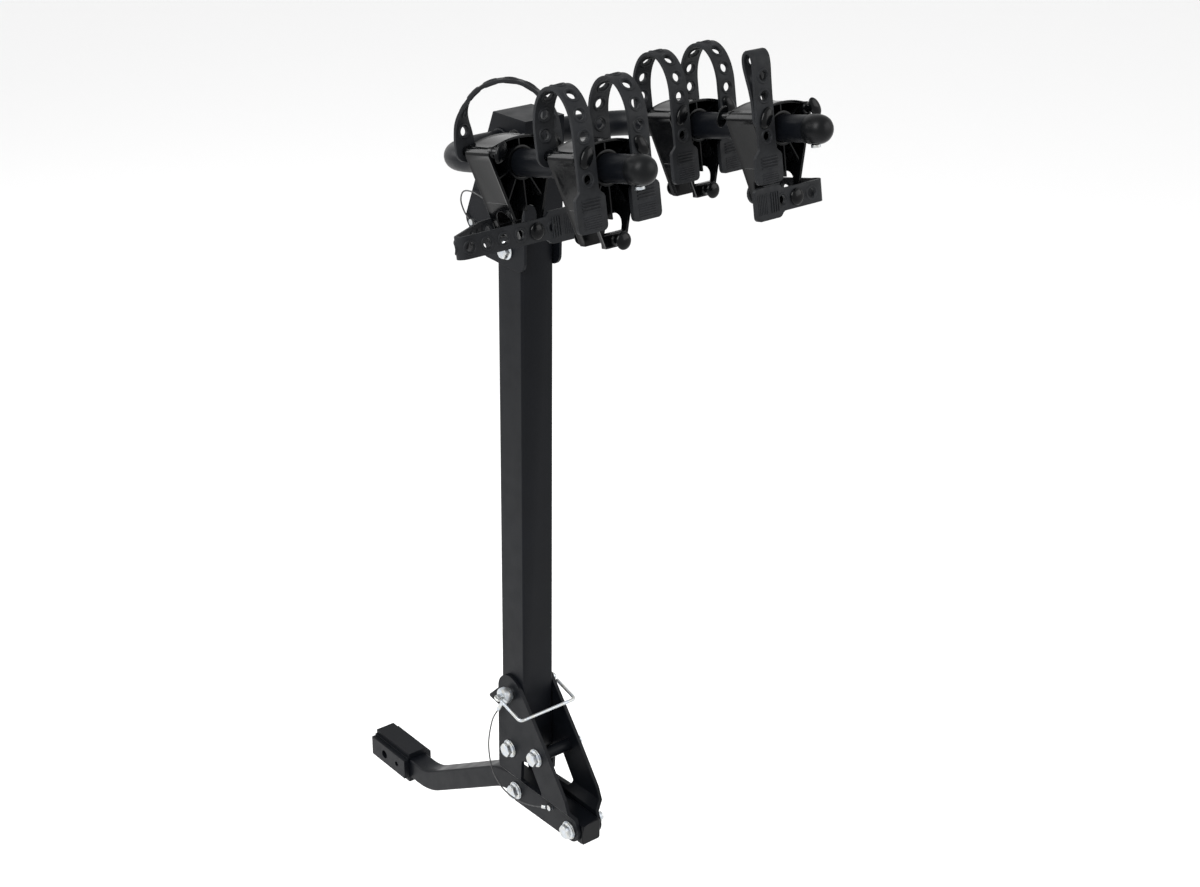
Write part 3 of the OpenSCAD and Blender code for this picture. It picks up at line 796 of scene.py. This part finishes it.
def sway_strap(sizes, name, node, cradle, fold, reach, tab):
    """Steadying strap round a cradle's feet: tab, rear stud, fold, front stud."""
    turn_r = 7.0
    y = REAR_LEG_Y_MM
    arc = []
    for i in range(13):
        angle = math.radians(240 - 10 * i)
        arc.append((turn_r - reach + turn_r * math.cos(angle), y + turn_r * (1 + math.sin(angle))))
    run = [(12.0, FRONT_LEG_Y_MM), (-20.0, FRONT_LEG_Y_MM), (-34.0, FRONT_LEG_Y_MM - 4.0)]
    run += arc[::-1] + [(turn_r - reach, y), (tab, y), (tab + 40.0, y)]
    points = dense([(fold * px, py, FOOT_STUD_Z_MM) for px, py in run])
    route = Route(points, [(0.0, 0.0, fold)] * len(points))
    studs = [route.nearest((0.0, leg, FOOT_STUD_Z_MM)) for leg in (FRONT_LEG_Y_MM, y)]
    fit_strap(build_strap(sizes, name, route, studs, 41.0, 38.0), cradle, node)


class RACK_OT_straps(bpy.types.Operator):
    """Rubber straps with rimmed holes and ribbed pull tabs"""
    bl_idname = "rack.straps"
    bl_label = "Straps"

    def execute(self, context):
        sizes = context.scene.rack_sizes
        cross_strap(sizes, "near_inner_cross_strap", "near_inner_strap", "near_inner")
        for cradle in ("near_outer", "far_inner"):
            for way, x in (("left", -STUD_X_MM), ("right", STUD_X_MM)):
                saddle_strap(sizes, f"{cradle}_{way}_strap", f"{cradle}_strap_{way}", cradle, x)
        stowed_strap(sizes, "far_outer_left_strap", "far_outer_strap", "far_outer", -STUD_X_MM)
        sway_strap(sizes, "near_steadying_strap", "near_sway_strap", "near_inner", 1, 104.0, 18.0)
        sway_strap(sizes, "far_steadying_strap", "far_sway_strap", "far_outer", -1, 44.0, 24.0)
        return {"FINISHED"}


# ---------------------------------------------------------------- steel and plastic pieces

class RACK_OT_finishes(bpy.types.Operator):
    """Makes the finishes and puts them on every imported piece"""
    bl_idname = "rack.finishes"
    bl_label = "Finishes"

    def execute(self, context):
        make_finishes(context.scene.rack_colours)
        for node, obj in frame["nodes"].items():
            obj.data.materials.clear()
            obj.data.materials.append(FINISH[slot_of(node)])
        return {"FINISHED"}


def tube_piece(node, corner, edge, is_corner):
    """Stands in for a square tube with rolled corners; the test picks its corner edges."""
    piece = merged_copy(node, node + "_rolled")
    roll_edges(piece, corner, is_corner)
    round_edges(piece, edge)
    replace_node(piece, node)


def weld_bead(x, y, z):
    """A rippled fillet round the cross tube where it enters the bracket."""
    bead = torus(120, 0.0162, 0.0021)
    for vertex in bead.data.vertices:
        angle = math.atan2(vertex.co.y, vertex.co.x)
        ripple = 1.0 + 0.028 * math.sin(30 * angle + 0.6 * math.sin(3 * angle))
        vertex.co = (vertex.co.x * ripple, vertex.co.y * ripple, vertex.co.z)
    place_in_mesh(bead, Matrix.Translation((x, y, z)) @ TO_FAR_SIDE)
    return bead


class RACK_OT_steelwork(bpy.types.Operator):
    """Rounds the edges of the coated tubes and plates"""
    bl_idname = "rack.steelwork"
    bl_label = "Coated steel"

    def execute(self, context):
        sizes = context.scene.rack_sizes
        edge = sizes.edge_radius
        for node in ("near_side_plate", "far_side_plate", "head_bracket", "adapter_sleeve"):
            rounded_node(node, edge)
        axis_y = JOINTS["mast_tilt"]["pos_m"][1]
        tube_piece("mast_tube", sizes.mast_corner, edge, lambda a, b: (
            abs(a.z - b.z) > 0.003
            and min(abs(a.x), abs(b.x), abs(a.y - axis_y), abs(b.y - axis_y)) > 0.025))
        tube_piece("shank", sizes.shank_corner, edge, lambda a, b: (
            (a - b).length > 0.003 and abs(a.y - b.y) > 0.001
            and min(abs(a.x), abs(b.x)) > 0.0157))
        low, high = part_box("arm_tube")
        cross_y, cross_z = high[1] - TUBE_RADIUS_MM * MM, low[2] + TUBE_RADIUS_MM * MM
        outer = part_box("head_bracket")[1][0] + 0.0005
        welds = join([weld_bead(x, cross_y, cross_z) for x in (-outer, outer)], "cross_tube_welds")
        smooth(welds, 60.0)
        finish_piece(welds, "head", "black_powder_coat")
        return {"FINISHED"}


ARM_RADIUS_MM = 15.95
COLLAR_RADIUS_MM = 20.0
WALL_MM = 3.6
FOOT_MM = (14.0, -86.0)
SHOULDER_MM = (48.0, 20.2)
CROWN_RADIUS_MM = 110.0
CROWN_TOP_MM = 31.0
RIB_MM = 1.7
RIB_START_MM = 18.5
RIB_END_Y_MM = 42.0
SIDE_RIBS = ((30, 51.0, 3.0), (68, 36.5, 4.0), (124, 41.0, 4.0))
STUD_STEM_MM = ((0, -4), (6.6, -4), (6.6, 0.6), (5.6, 1.6), (4.9, 3.2), (4.9, 13), (0, 13))
STUD_HEAD_MM = (
    (0, 12.3), (0.8, 12.3), (0.97, 12.6), (1.0, 13.2), (0.97, 14.2), (0.86, 15.3), (0.66, 16.1),
    (0.38, 16.6), (0, 16.8))


def crown_z(x):
    """Height of a cradle's crowned top."""
    return CROWN_TOP_MM - CROWN_RADIUS_MM + math.sqrt(CROWN_RADIUS_MM ** 2 - x * x)


def cradle_outline():
    """Outer outline of a cradle, from the right foot round over the crown to the left foot."""
    start, end = (45.2, 11.5), (38.0, crown_z(38.0))
    right = [FOOT_MM]
    for i in range(7):
        t = i / 6
        right.append(tuple(
            (1 - t) ** 2 * a + 2 * t * (1 - t) * c + t * t * b
            for a, c, b in zip(start, SHOULDER_MM, end)))
    right += [(x, crown_z(x)) for x in (31.0, 23.5, 15.5, 8.0)]
    return right + [(0.0, CROWN_TOP_MM)] + [(-x, z) for x, z in reversed(right)]


def inset_outline(points, distance, lowest):
    """Points of a convex outline moved inwards, and none of them lower than the height given."""
    out = []
    count = len(points)
    for i in range(count):
        a, b, c = points[i - 1], points[i], points[(i + 1) % count]
        n1 = Vector((b[1] - a[1], a[0] - b[0])).normalized()
        n2 = Vector((c[1] - b[1], b[0] - c[0])).normalized()
        middle = (n1 + n2).normalized()
        reach = distance / max(0.3, middle.dot(n1))
        x, z = b[0] - middle.x * reach, b[1] - middle.y * reach
        if z < lowest:
            side = 1 if x > 0 else -1
            slope = (SHOULDER_MM[0] - FOOT_MM[0]) / (SHOULDER_MM[1] - FOOT_MM[1])
            x = side * (FOOT_MM[0] + (lowest - FOOT_MM[1]) * slope - distance * 1.05)
            z = lowest
        out.append((x, z))
    return out


def ring_points(radius, template):
    """Points of a circle, each in the direction of a point of the template outline."""
    return [(x / math.hypot(x, z) * radius, z / math.hypot(x, z) * radius) for x, z in template]


def circle_points(count, radius):
    """Evenly spaced points of a circle."""
    angles = [2 * math.pi * i / count for i in range(count)]
    return [(radius * math.cos(angle), radius * math.sin(angle)) for angle in angles]


def cradle_rib(angle, end, y0):
    """A thin rib from the collar outwards; the angle is from straight down."""
    size = (RIB_MM * MM, (RIB_END_Y_MM - y0) * MM, (end - RIB_START_MM) * MM)
    rib = box(size, (0.0, (y0 + RIB_END_Y_MM) / 2 * MM, -(RIB_START_MM + end) / 2 * MM))
    rib.data.transform(Matrix.Rotation(-math.radians(angle), 4, "Y"))
    return rib


def strap_stud(x, z, way, lean, half_length, half_width):
    """A stem with a domed head, standing on a cradle's face; way is 1 towards the car."""
    foot = CRADLE_DEPTH_MM if way > 0 else 0.0
    stem = spun("stem", STUD_STEM_MM, 24)
    head = spun("head", STUD_HEAD_MM, 40)
    stretch = Matrix.Diagonal((half_width, half_length, 1.0, 1.0))
    head.data.transform(Matrix.Rotation(math.radians(lean), 4, "Z") @ stretch)
    stud = join([stem, head], "stud")
    stand = Matrix.Rotation(math.radians(-90 * way), 4, "X")
    stud.data.transform(Matrix.Translation((x * MM, foot * MM, z * MM)) @ stand)
    return stud


def cradle_shell(outer):
    """The cradle's hollow shell, with sunken panels and an arched gap between its feet."""
    shell = band("shell", outer, inset_outline(outer, WALL_MM, -70.0), 0.0, CRADLE_DEPTH_MM)
    sink_faces(shell, lambda face: (
        abs(face.normal.x) > 0.9 and face.normal.x * face.center.x > 0
        and face.area > 0.003), 0.0046, 0.0016)
    sink_faces(shell, lambda face: face.normal.z > 0.9 and face.center.z > 0.02, 0.0042, 0.0014)
    arch = cylinder(
        40, 0.014, 0.12, (0.0, CRADLE_DEPTH_MM / 2 * MM, -0.068), (0.0, math.pi / 2, 0.0))
    for vertex in arch.data.vertices:
        if vertex.co.z < -0.0685:
            vertex.co.z = -0.1
    carve(shell, arch)
    bevel_edges(shell, 0.0015, 3, 32)
    return shell


def stud_boss(side):
    """The round boss that carries the two studs of one side."""
    boss = cylinder(
        32, 0.0068, (CRADLE_DEPTH_MM - 1.0) * MM,
        (side * STUD_X_MM * MM, CRADLE_DEPTH_MM / 2 * MM, (STUD_Z_MM - 1.0) * MM),
        (math.pi / 2, 0.0, 0.0))
    bevel_edges(boss, 0.001, 2, 50)
    return boss


def moulded_cradle():
    """One cradle in its own frame: ribbed shell with sunken panels, collar, bosses and studs."""
    outer = cradle_outline()
    shell = cradle_shell(outer)
    inner = inset_outline(outer, 1.8, -84.0)
    wall = band("front_wall", inner, ring_points(ARM_RADIUS_MM, inner), 41.0, 44.4)
    collar = band("collar", circle_points(48, COLLAR_RADIUS_MM), circle_points(48, ARM_RADIUS_MM),
                  0.6, CRADLE_DEPTH_MM)
    bevel_edges(collar, 0.0009, 2, 50)
    ribs = [cradle_rib(0, 56.0, 2.0), cradle_rib(180, 28.5, 2.5)]
    for side in (-1, 1):
        ribs += [cradle_rib(side * angle, end, y0) for angle, end, y0 in SIDE_RIBS]
    bosses = [stud_boss(side) for side in (-1, 1)]
    studs = [strap_stud(side * STUD_X_MM, STUD_Z_MM, way, -30.0 * side * way, 13.0, 7.6)
             for side in (-1, 1) for way in (-1, 1)]
    studs += [strap_stud(0.0, FOOT_STUD_Z_MM, way, 0.0, 10.0, 10.0) for way in (-1, 1)]
    for ribbed in [shell, wall] + ribs:
        smooth(ribbed, 32.0)
    piece = join([shell, wall, collar] + ribs + bosses + studs, "cradle_pattern")
    smooth(piece, 38.0)
    flatten_faces(piece)
    return piece


class RACK_OT_cradles(bpy.types.Operator):
    """Ribbed cradles with sunken panels, studs and collars"""
    bl_idname = "rack.cradles"
    bl_label = "Cradles"

    def execute(self, context):
        pattern = moulded_cradle()
        for cradle in ("near_inner", "near_outer", "far_inner", "far_outer"):
            piece = bpy.data.objects.new(cradle + "_moulding", pattern.data.copy())
            context.scene.collection.objects.link(piece)
            piece.data.transform(cradle_frame(cradle))
            finish_piece(piece, cradle, "cradle_plastic", (cradle + "_cradle",))
        bpy.data.objects.remove(pattern)
        return {"FINISHED"}


def hexagon(height, across_corners, chamfer_both):
    """A hexagon along Z from 0 to its height, with chamfered corners, in mm."""
    radius = across_corners / 2
    block = cylinder(6, radius * MM, height * MM, (0.0, 0.0, height / 2 * MM))
    cone = spun("cone", [
        (0, 0), (radius - (1.3 if chamfer_both else -0.5), 0),
        (radius + 0.5, 1.1 if chamfer_both else 0.01),
        (radius + 0.5, height - 1.1), (radius - 1.3, height), (0, height)], 48)
    carve(block, cone, "INTERSECT")
    bevel_edges(block, 0.0003, 1, 40)
    return block


def threaded_rod(start, end, radius, thread):
    """A rod along Z with thread grooves over its last stretch, in mm."""
    profile = [(0, start), (radius - 0.6, start), (radius, start + 0.6), (radius, end - thread)]
    pitch = 1.75
    for i in range(int(thread / pitch)):
        z = end - thread + i * pitch
        profile += [(radius, z + 0.2), (radius - 0.85, z + pitch / 2), (radius, z + pitch - 0.2)]
    profile += [(radius, end - 1.3), (radius - 1.2, end), (0, end)]
    return spun("rod", profile, 28)


def flange_bolt(low, high):
    """A flange bolt that fills the box given, with its head on the near side."""
    length = (high.x - low.x) / MM
    head = hexagon(6.4, BOLT_CORNERS_MM, False)
    head.data.transform(Matrix.Translation((0.0, 0.0, 2.1 * MM)))
    flange = spun("flange", FLANGE_MM, 44)
    stem = threaded_rod(-(length - 8.6), 0.0, 6.0, 0.0)
    tail = threaded_rod(0.0, 17.0, 5.98, 16.0)
    tail.data.transform(Matrix.Translation((0.0, 0.0, -(length - 8.5) * MM)) @ Matrix.Rotation(
        math.pi, 4, "X") @ Matrix.Translation((0.0, 0.0, -17.0 * MM)))
    bolt = join([head, flange, stem, tail], "bolt")
    seat = Vector((low.x + 8.5 * MM, (low.y + high.y) / 2, (low.z + high.z) / 2))
    bolt.data.transform(Matrix.Translation(seat) @ TO_NEAR_SIDE)
    return bolt


def lock_nut(low, high):
    """A lock nut with a rounded collar, on the far side."""
    nut = join([hexagon(7.2, BOLT_CORNERS_MM, True), spun("collar", NUT_COLLAR_MM, 40)], "nut")
    seat = Vector((low.x, (low.y + high.y) / 2, (low.z + high.z) / 2))
    nut.data.transform(Matrix.Translation(seat) @ TO_FAR_SIDE)
    return nut


def fastener_set(node, name, make):
    """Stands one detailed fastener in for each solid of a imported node."""
    piece = join([make(low, high) for low, high in loose_boxes(node)], name)
    smooth(piece, 32.0)
    replace_node(piece, node)


PIN_AXIS_YZ_MM = (-340.0, 280.0)
PIN_MM = (
    (0, 45.6), (9.6, 45.6), (11.3, 44.9), (12.0, 43.4), (12.0, 37.6), (11.2, 36.4), (9.2, 36.0),
    (7.6, 36.0), (7.6, 33.4), (8.8, 33.0), (8.8, 31.2), (6.0, 31.2), (6.0, -46.0), (4.6, -48.0),
    (0, -48.0))
BOLT_CORNERS_MM = 20.6
FLANGE_MM = (
    (0, 0), (11.4, 0), (11.9, 0.5), (11.9, 1.2), (10.6, 2.2), (9.4, 3.0), (0, 3.0))
NUT_COLLAR_MM = (
    (6.05, 0.4), (9.3, 0.4), (9.3, 7.6), (8.9, 8.6), (8.0, 9.0), (6.9, 9.0), (6.05, 8.3))
BAIL_HINGE_X_MM = -50.5
BAIL_DROP_DEGREES = 15.0
BAIL_EYE_MM = ((3.0, -1.7), (5.2, -1.7), (5.8, -1.0), (5.8, 1.0), (5.2, 1.7), (3.0, 1.7))


def bail_hinge():
    """Place of the bail's hinge, with Z along its axis."""
    y, z = PIN_AXIS_YZ_MM
    return Matrix.Translation((BAIL_HINGE_X_MM * MM, y * MM, z * MM)) @ Matrix.Rotation(
        math.radians(BAIL_DROP_DEGREES), 4, "X")


def mast_pin():
    """Lock pin of the mast: a wide head close to the plate, with a clevis for the bail."""
    y, z = PIN_AXIS_YZ_MM
    pin = spun("pin", PIN_MM, 44, Matrix.Translation((0.0, y * MM, z * MM)) @ TO_NEAR_SIDE)
    pivot = spun("pivot", [(0, -4.6), (2.7, -4.6), (2.7, 4.6), (0, 4.6)], 24)
    cheeks = []
    for side in (-1, 1):
        cheek = box((8.8 * MM, 6.6 * MM, 1.6 * MM), (1.4 * MM, 0.0, side * 2.8 * MM))
        apply_modifier(cheek, "BEVEL", width=0.0005, segments=2, limit_method="NONE")
        cheeks.append(cheek)
    clevis = join([pivot] + cheeks, "clevis")
    clevis.data.transform(bail_hinge())
    piece = join([pin, clevis], "mast_lock_pin_turned")
    smooth(piece, 32.0)
    replace_node(piece, "mast_lock_pin")


def hinged_bail():
    """The bail's wire, led on to an eye on the pivot of the pin's clevis."""
    wire = merged_copy("mast_pin_bail", "wire")
    eye = spun("eye", BAIL_EYE_MM, 32)
    arm = spun("arm", [(0, 5.2), (1.7, 5.2), (2.4, 8.0), (2.4, 15.0), (0, 15.0)], 20)
    arm.data.transform(Matrix.Rotation(math.pi / 2, 4, "X"))
    for part in (eye, arm):
        part.data.transform(bail_hinge())
    piece = join([wire, eye, arm], "mast_bail_wire")
    smooth(piece, 40.0)
    replace_node(piece, "mast_pin_bail")


class RACK_OT_fasteners(bpy.types.Operator):
    """Flange bolts, lock nuts, washers and pins"""
    bl_idname = "rack.fasteners"
    bl_label = "Fasteners"

    def execute(self, context):
        fastener_set("frame_bolts", "frame_flange_bolts", flange_bolt)
        fastener_set("mast_pivot_bolt", "mast_pivot_flange_bolt", flange_bolt)
        fastener_set("head_pivot_bolt", "head_pivot_flange_bolt", flange_bolt)
        fastener_set("frame_nuts", "frame_lock_nuts", lock_nut)
        fastener_set("mast_pivot_nut", "mast_pivot_lock_nut", lock_nut)
        fastener_set("head_pivot_nut", "head_pivot_lock_nut", lock_nut)
        for node in ("frame_washers", "stop_spacer", "arm_cap_screws"):
            rounded_node(node, 0.0005)
        rounded_node("head_lock_pin", 0.0009)
        mast_pin()
        hinged_bail()
        return {"FINISHED"}


CAP_SEAT_MM = 388.0
NEAR_OUTER_MIDDLE_MM = 308.0
ARM_CAP_MM = (
    (0, 13.6), (4.5, 13.3), (8.6, 12.2), (12.0, 10.0), (14.4, 7.1), (15.9, 3.6), (16.7, 0.0),
    (17.05, -4.0), (17.1, -13.2), (16.6, -13.9), (15.93, -14.0), (15.93, -3.2), (0, -3.2))


def end_plug():
    """Plastic plug in the rear end of the shank, with a soft edged face."""
    low, high = (Vector(corner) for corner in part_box("shank_end_cap"))
    width = high.x - low.x
    blocks = []
    for size, y0, y1 in ((width - 0.0004, low.y, low.y + 0.004),
                         (width - 0.0068, low.y + 0.003, high.y)):
        block = box((size, y1 - y0, size), (0.0, (y0 + y1) / 2, (low.z + high.z) / 2))
        roll_edges(block, 0.0034, lambda a, b: abs(a.y - b.y) > 0.001)
        blocks.append(block)
    piece = join(blocks, "shank_end_plug")
    round_edges(piece, 0.0012, segments=3)
    finish_piece(piece, "base", "cap_plastic", ("shank_end_cap",))


class RACK_OT_caps(bpy.types.Operator):
    """Domed caps on the arm ends and the plug in the rear end of the shank"""
    bl_idname = "rack.caps"
    bl_label = "End caps"

    def execute(self, context):
        for side in ("near", "far"):
            joint = JOINTS[side + "_outer_turn"]
            rearwards = Vector(joint["axis"]).normalized()
            seat = Vector(joint["pos_m"]) + rearwards * (CAP_SEAT_MM - NEAR_OUTER_MIDDLE_MM) * MM
            turned = rearwards.to_track_quat("Z", "Y").to_matrix().to_4x4()
            piece = spun(side + "_domed_cap", ARM_CAP_MM, 56, Matrix.Translation(seat) @ turned)
            smooth(piece, 40.0)
            finish_piece(piece, "head", "cap_plastic", (side + "_arm_cap",))
        end_plug()
        return {"FINISHED"}


MAST_CABLE_MM = (
    (-37, -321, 247), (-37, -308, 226), (-37, -300, 200), (-38, -298, 178), (-39, -302, 156),
    (-40, -312, 138), (-40, -328, 125), (-39, -350, 119), (-36, -374, 119), (-31, -396, 123),
    (-27, -408, 127))
HEAD_CABLE_MM = (
    (-33, -326, 979), (-34, -312, 984), (-35, -280, 990), (-34, -256, 986), (-33, -248, 972),
    (-32, -254, 958), (-32, -264, 951))
CABLE_DIAMETER_M = 0.002


def tether_cable(name, route_mm, body, node):
    """A tether cable along its route, with its round section."""
    points = [point * MM for point in curved(route_mm, 4)]
    data = bpy.data.curves.new(name, "CURVE")
    data.dimensions = "3D"
    data.bevel_depth = CABLE_DIAMETER_M / 2
    data.bevel_resolution = 3
    spline = data.splines.new("POLY")
    spline.points.add(len(points) - 1)
    for target, point in zip(spline.points, points):
        target.co = (*point, 1.0)
    cable = bpy.data.objects.new(name, data)
    bpy.context.scene.collection.objects.link(cable)
    finish_piece(cable, body, "cable_jacket", (node,))


class RACK_OT_cables(bpy.types.Operator):
    """Tether cables of the two lock pins"""
    bl_idname = "rack.cables"
    bl_label = "Tether cables"

    def execute(self, context):
        tether_cable("mast_pin_tether", MAST_CABLE_MM, "base", "mast_pin_cable")
        tether_cable("head_pin_tether", HEAD_CABLE_MM, "head", "head_pin_cable")
        return {"FINISHED"}


# ---------------------------------------------------------------- stage

CAMERA_AT_M = (-1.41139, -2.18411, 1.69953)
CAMERA_AZIMUTH = -36.864
CAMERA_PITCH = 24.067
CAMERA_ROLL = -0.512
CAMERA_LENS_MM = 57.734
SENSOR_MM = 36.0
CAMERA_SHIFT = (0.076, -0.005)
RACK_MIDDLE_M = (0.0, -0.45, 0.6)
LIGHTS = (
    ("key", (-2.6, -1.2, 3.4), (2.2, 2.2), 130.0),
    ("fill", (2.4, -3.2, 2.2), (2.4, 2.0), 40.0),
    ("rim", (-1.8, 2.6, 2.4), (2.0, 2.0), 60.0),
)


def camera_axes():
    """The camera's right, up and backward directions."""
    azimuth = math.radians(CAMERA_AZIMUTH)
    pitch = math.radians(CAMERA_PITCH)
    roll = math.radians(CAMERA_ROLL)
    back = Vector((
        math.sin(azimuth) * math.cos(pitch),
        -math.cos(azimuth) * math.cos(pitch),
        math.sin(pitch)))
    right = (-back).cross(Vector((0.0, 0.0, 1.0))).normalized()
    up = right.cross(-back)
    rolled_right = math.cos(roll) * right + math.sin(roll) * up
    rolled_up = -math.sin(roll) * right + math.cos(roll) * up
    return rolled_right, rolled_up, back


def area_light(name, place, size, power):
    """A soft rectangular light that points at the middle of the rack."""
    data = bpy.data.lights.new(name, "AREA")
    data.shape = "RECTANGLE"
    data.size, data.size_y = size
    data.energy = power
    light = bpy.data.objects.new(name, data)
    bpy.context.scene.collection.objects.link(light)
    light.location = place
    towards = Vector(RACK_MIDDLE_M) - Vector(place)
    light.rotation_euler = towards.to_track_quat("-Z", "Y").to_euler()


def studio_camera(scene):
    """The scene's camera, at its fixed place."""
    data = bpy.data.cameras.new("camera")
    data.lens = CAMERA_LENS_MM
    data.sensor_width = SENSOR_MM
    data.shift_x, data.shift_y = CAMERA_SHIFT
    data.clip_start, data.clip_end = 0.05, 60.0
    camera = bpy.data.objects.new("camera", data)
    scene.collection.objects.link(camera)
    turned = Matrix(camera_axes()).transposed().to_4x4()
    camera.matrix_world = Matrix.Translation(CAMERA_AT_M) @ turned
    scene.camera = camera


def studio_floor(height, colour):
    """The pale floor under the rack."""
    deselect_all()
    bpy.ops.mesh.primitive_plane_add(size=160.0, location=(0.0, 0.0, height))
    floor = bpy.context.object
    floor.name = "studio_floor"
    material, tree, shader = material_nodes("studio_floor", colour, 0.8)
    vary_roughness(tree, shader, 3.0, 0.72, 0.85)
    floor.data.materials.append(material)


class RACK_OT_stage(bpy.types.Operator):
    """Camera, pale floor and soft studio light"""
    bl_idname = "rack.stage"
    bl_label = "Stage"

    def execute(self, context):
        scene = context.scene
        studio_camera(scene)
        studio_floor(-scene.rack_sizes.floor_drop, tuple(scene.rack_colours.floor))
        world = bpy.data.worlds.new("studio")
        scene.world = world
        world.use_nodes = True
        sky = world.node_tree.nodes["Background"]
        sky.inputs["Color"].default_value = (1.0, 1.0, 1.0, 1.0)
        sky.inputs["Strength"].default_value = 0.95
        for name, place, size, power in LIGHTS:
            area_light(name, place, size, power)
        scene.view_settings.view_transform = "Standard"
        return {"FINISHED"}


# ---------------------------------------------------------------- add-on

BUILD_STEPS = (
    "finishes", "stage", "cables", "steelwork", "cradles", "caps", "fasteners", "straps",
)


class RACK_PT_panel(bpy.types.Panel):
    """Lists the steps that build the rack's looks"""
    bl_idname = "RACK_PT_panel"
    bl_label = "Bike Rack"
    bl_space_type = "VIEW_3D"
    bl_region_type = "UI"
    bl_category = "Bike Rack"

    def draw(self, context):
        for step in BUILD_STEPS:
            self.layout.operator("rack." + step)
        for group in (context.scene.rack_sizes, context.scene.rack_colours):
            for name in group.__annotations__:
                self.layout.prop(group, name)


CLASSES = (
    RackSizes, RackColours, RACK_OT_finishes, RACK_OT_stage, RACK_OT_steelwork,
    RACK_OT_cables, RACK_OT_cradles, RACK_OT_caps, RACK_OT_fasteners, RACK_OT_straps,
    RACK_PT_panel,
)


def register():
    for cls in CLASSES:
        bpy.utils.register_class(cls)
    bpy.types.Scene.rack_sizes = bpy.props.PointerProperty(type=RackSizes)
    bpy.types.Scene.rack_colours = bpy.props.PointerProperty(type=RackColours)


def unregister():
    del bpy.types.Scene.rack_colours
    del bpy.types.Scene.rack_sizes
    for cls in reversed(CLASSES):
        bpy.utils.unregister_class(cls)


def main():
    register()
    for step in BUILD_STEPS:
        getattr(bpy.ops.rack, step)()


if __name__ == "__main__":
    main()
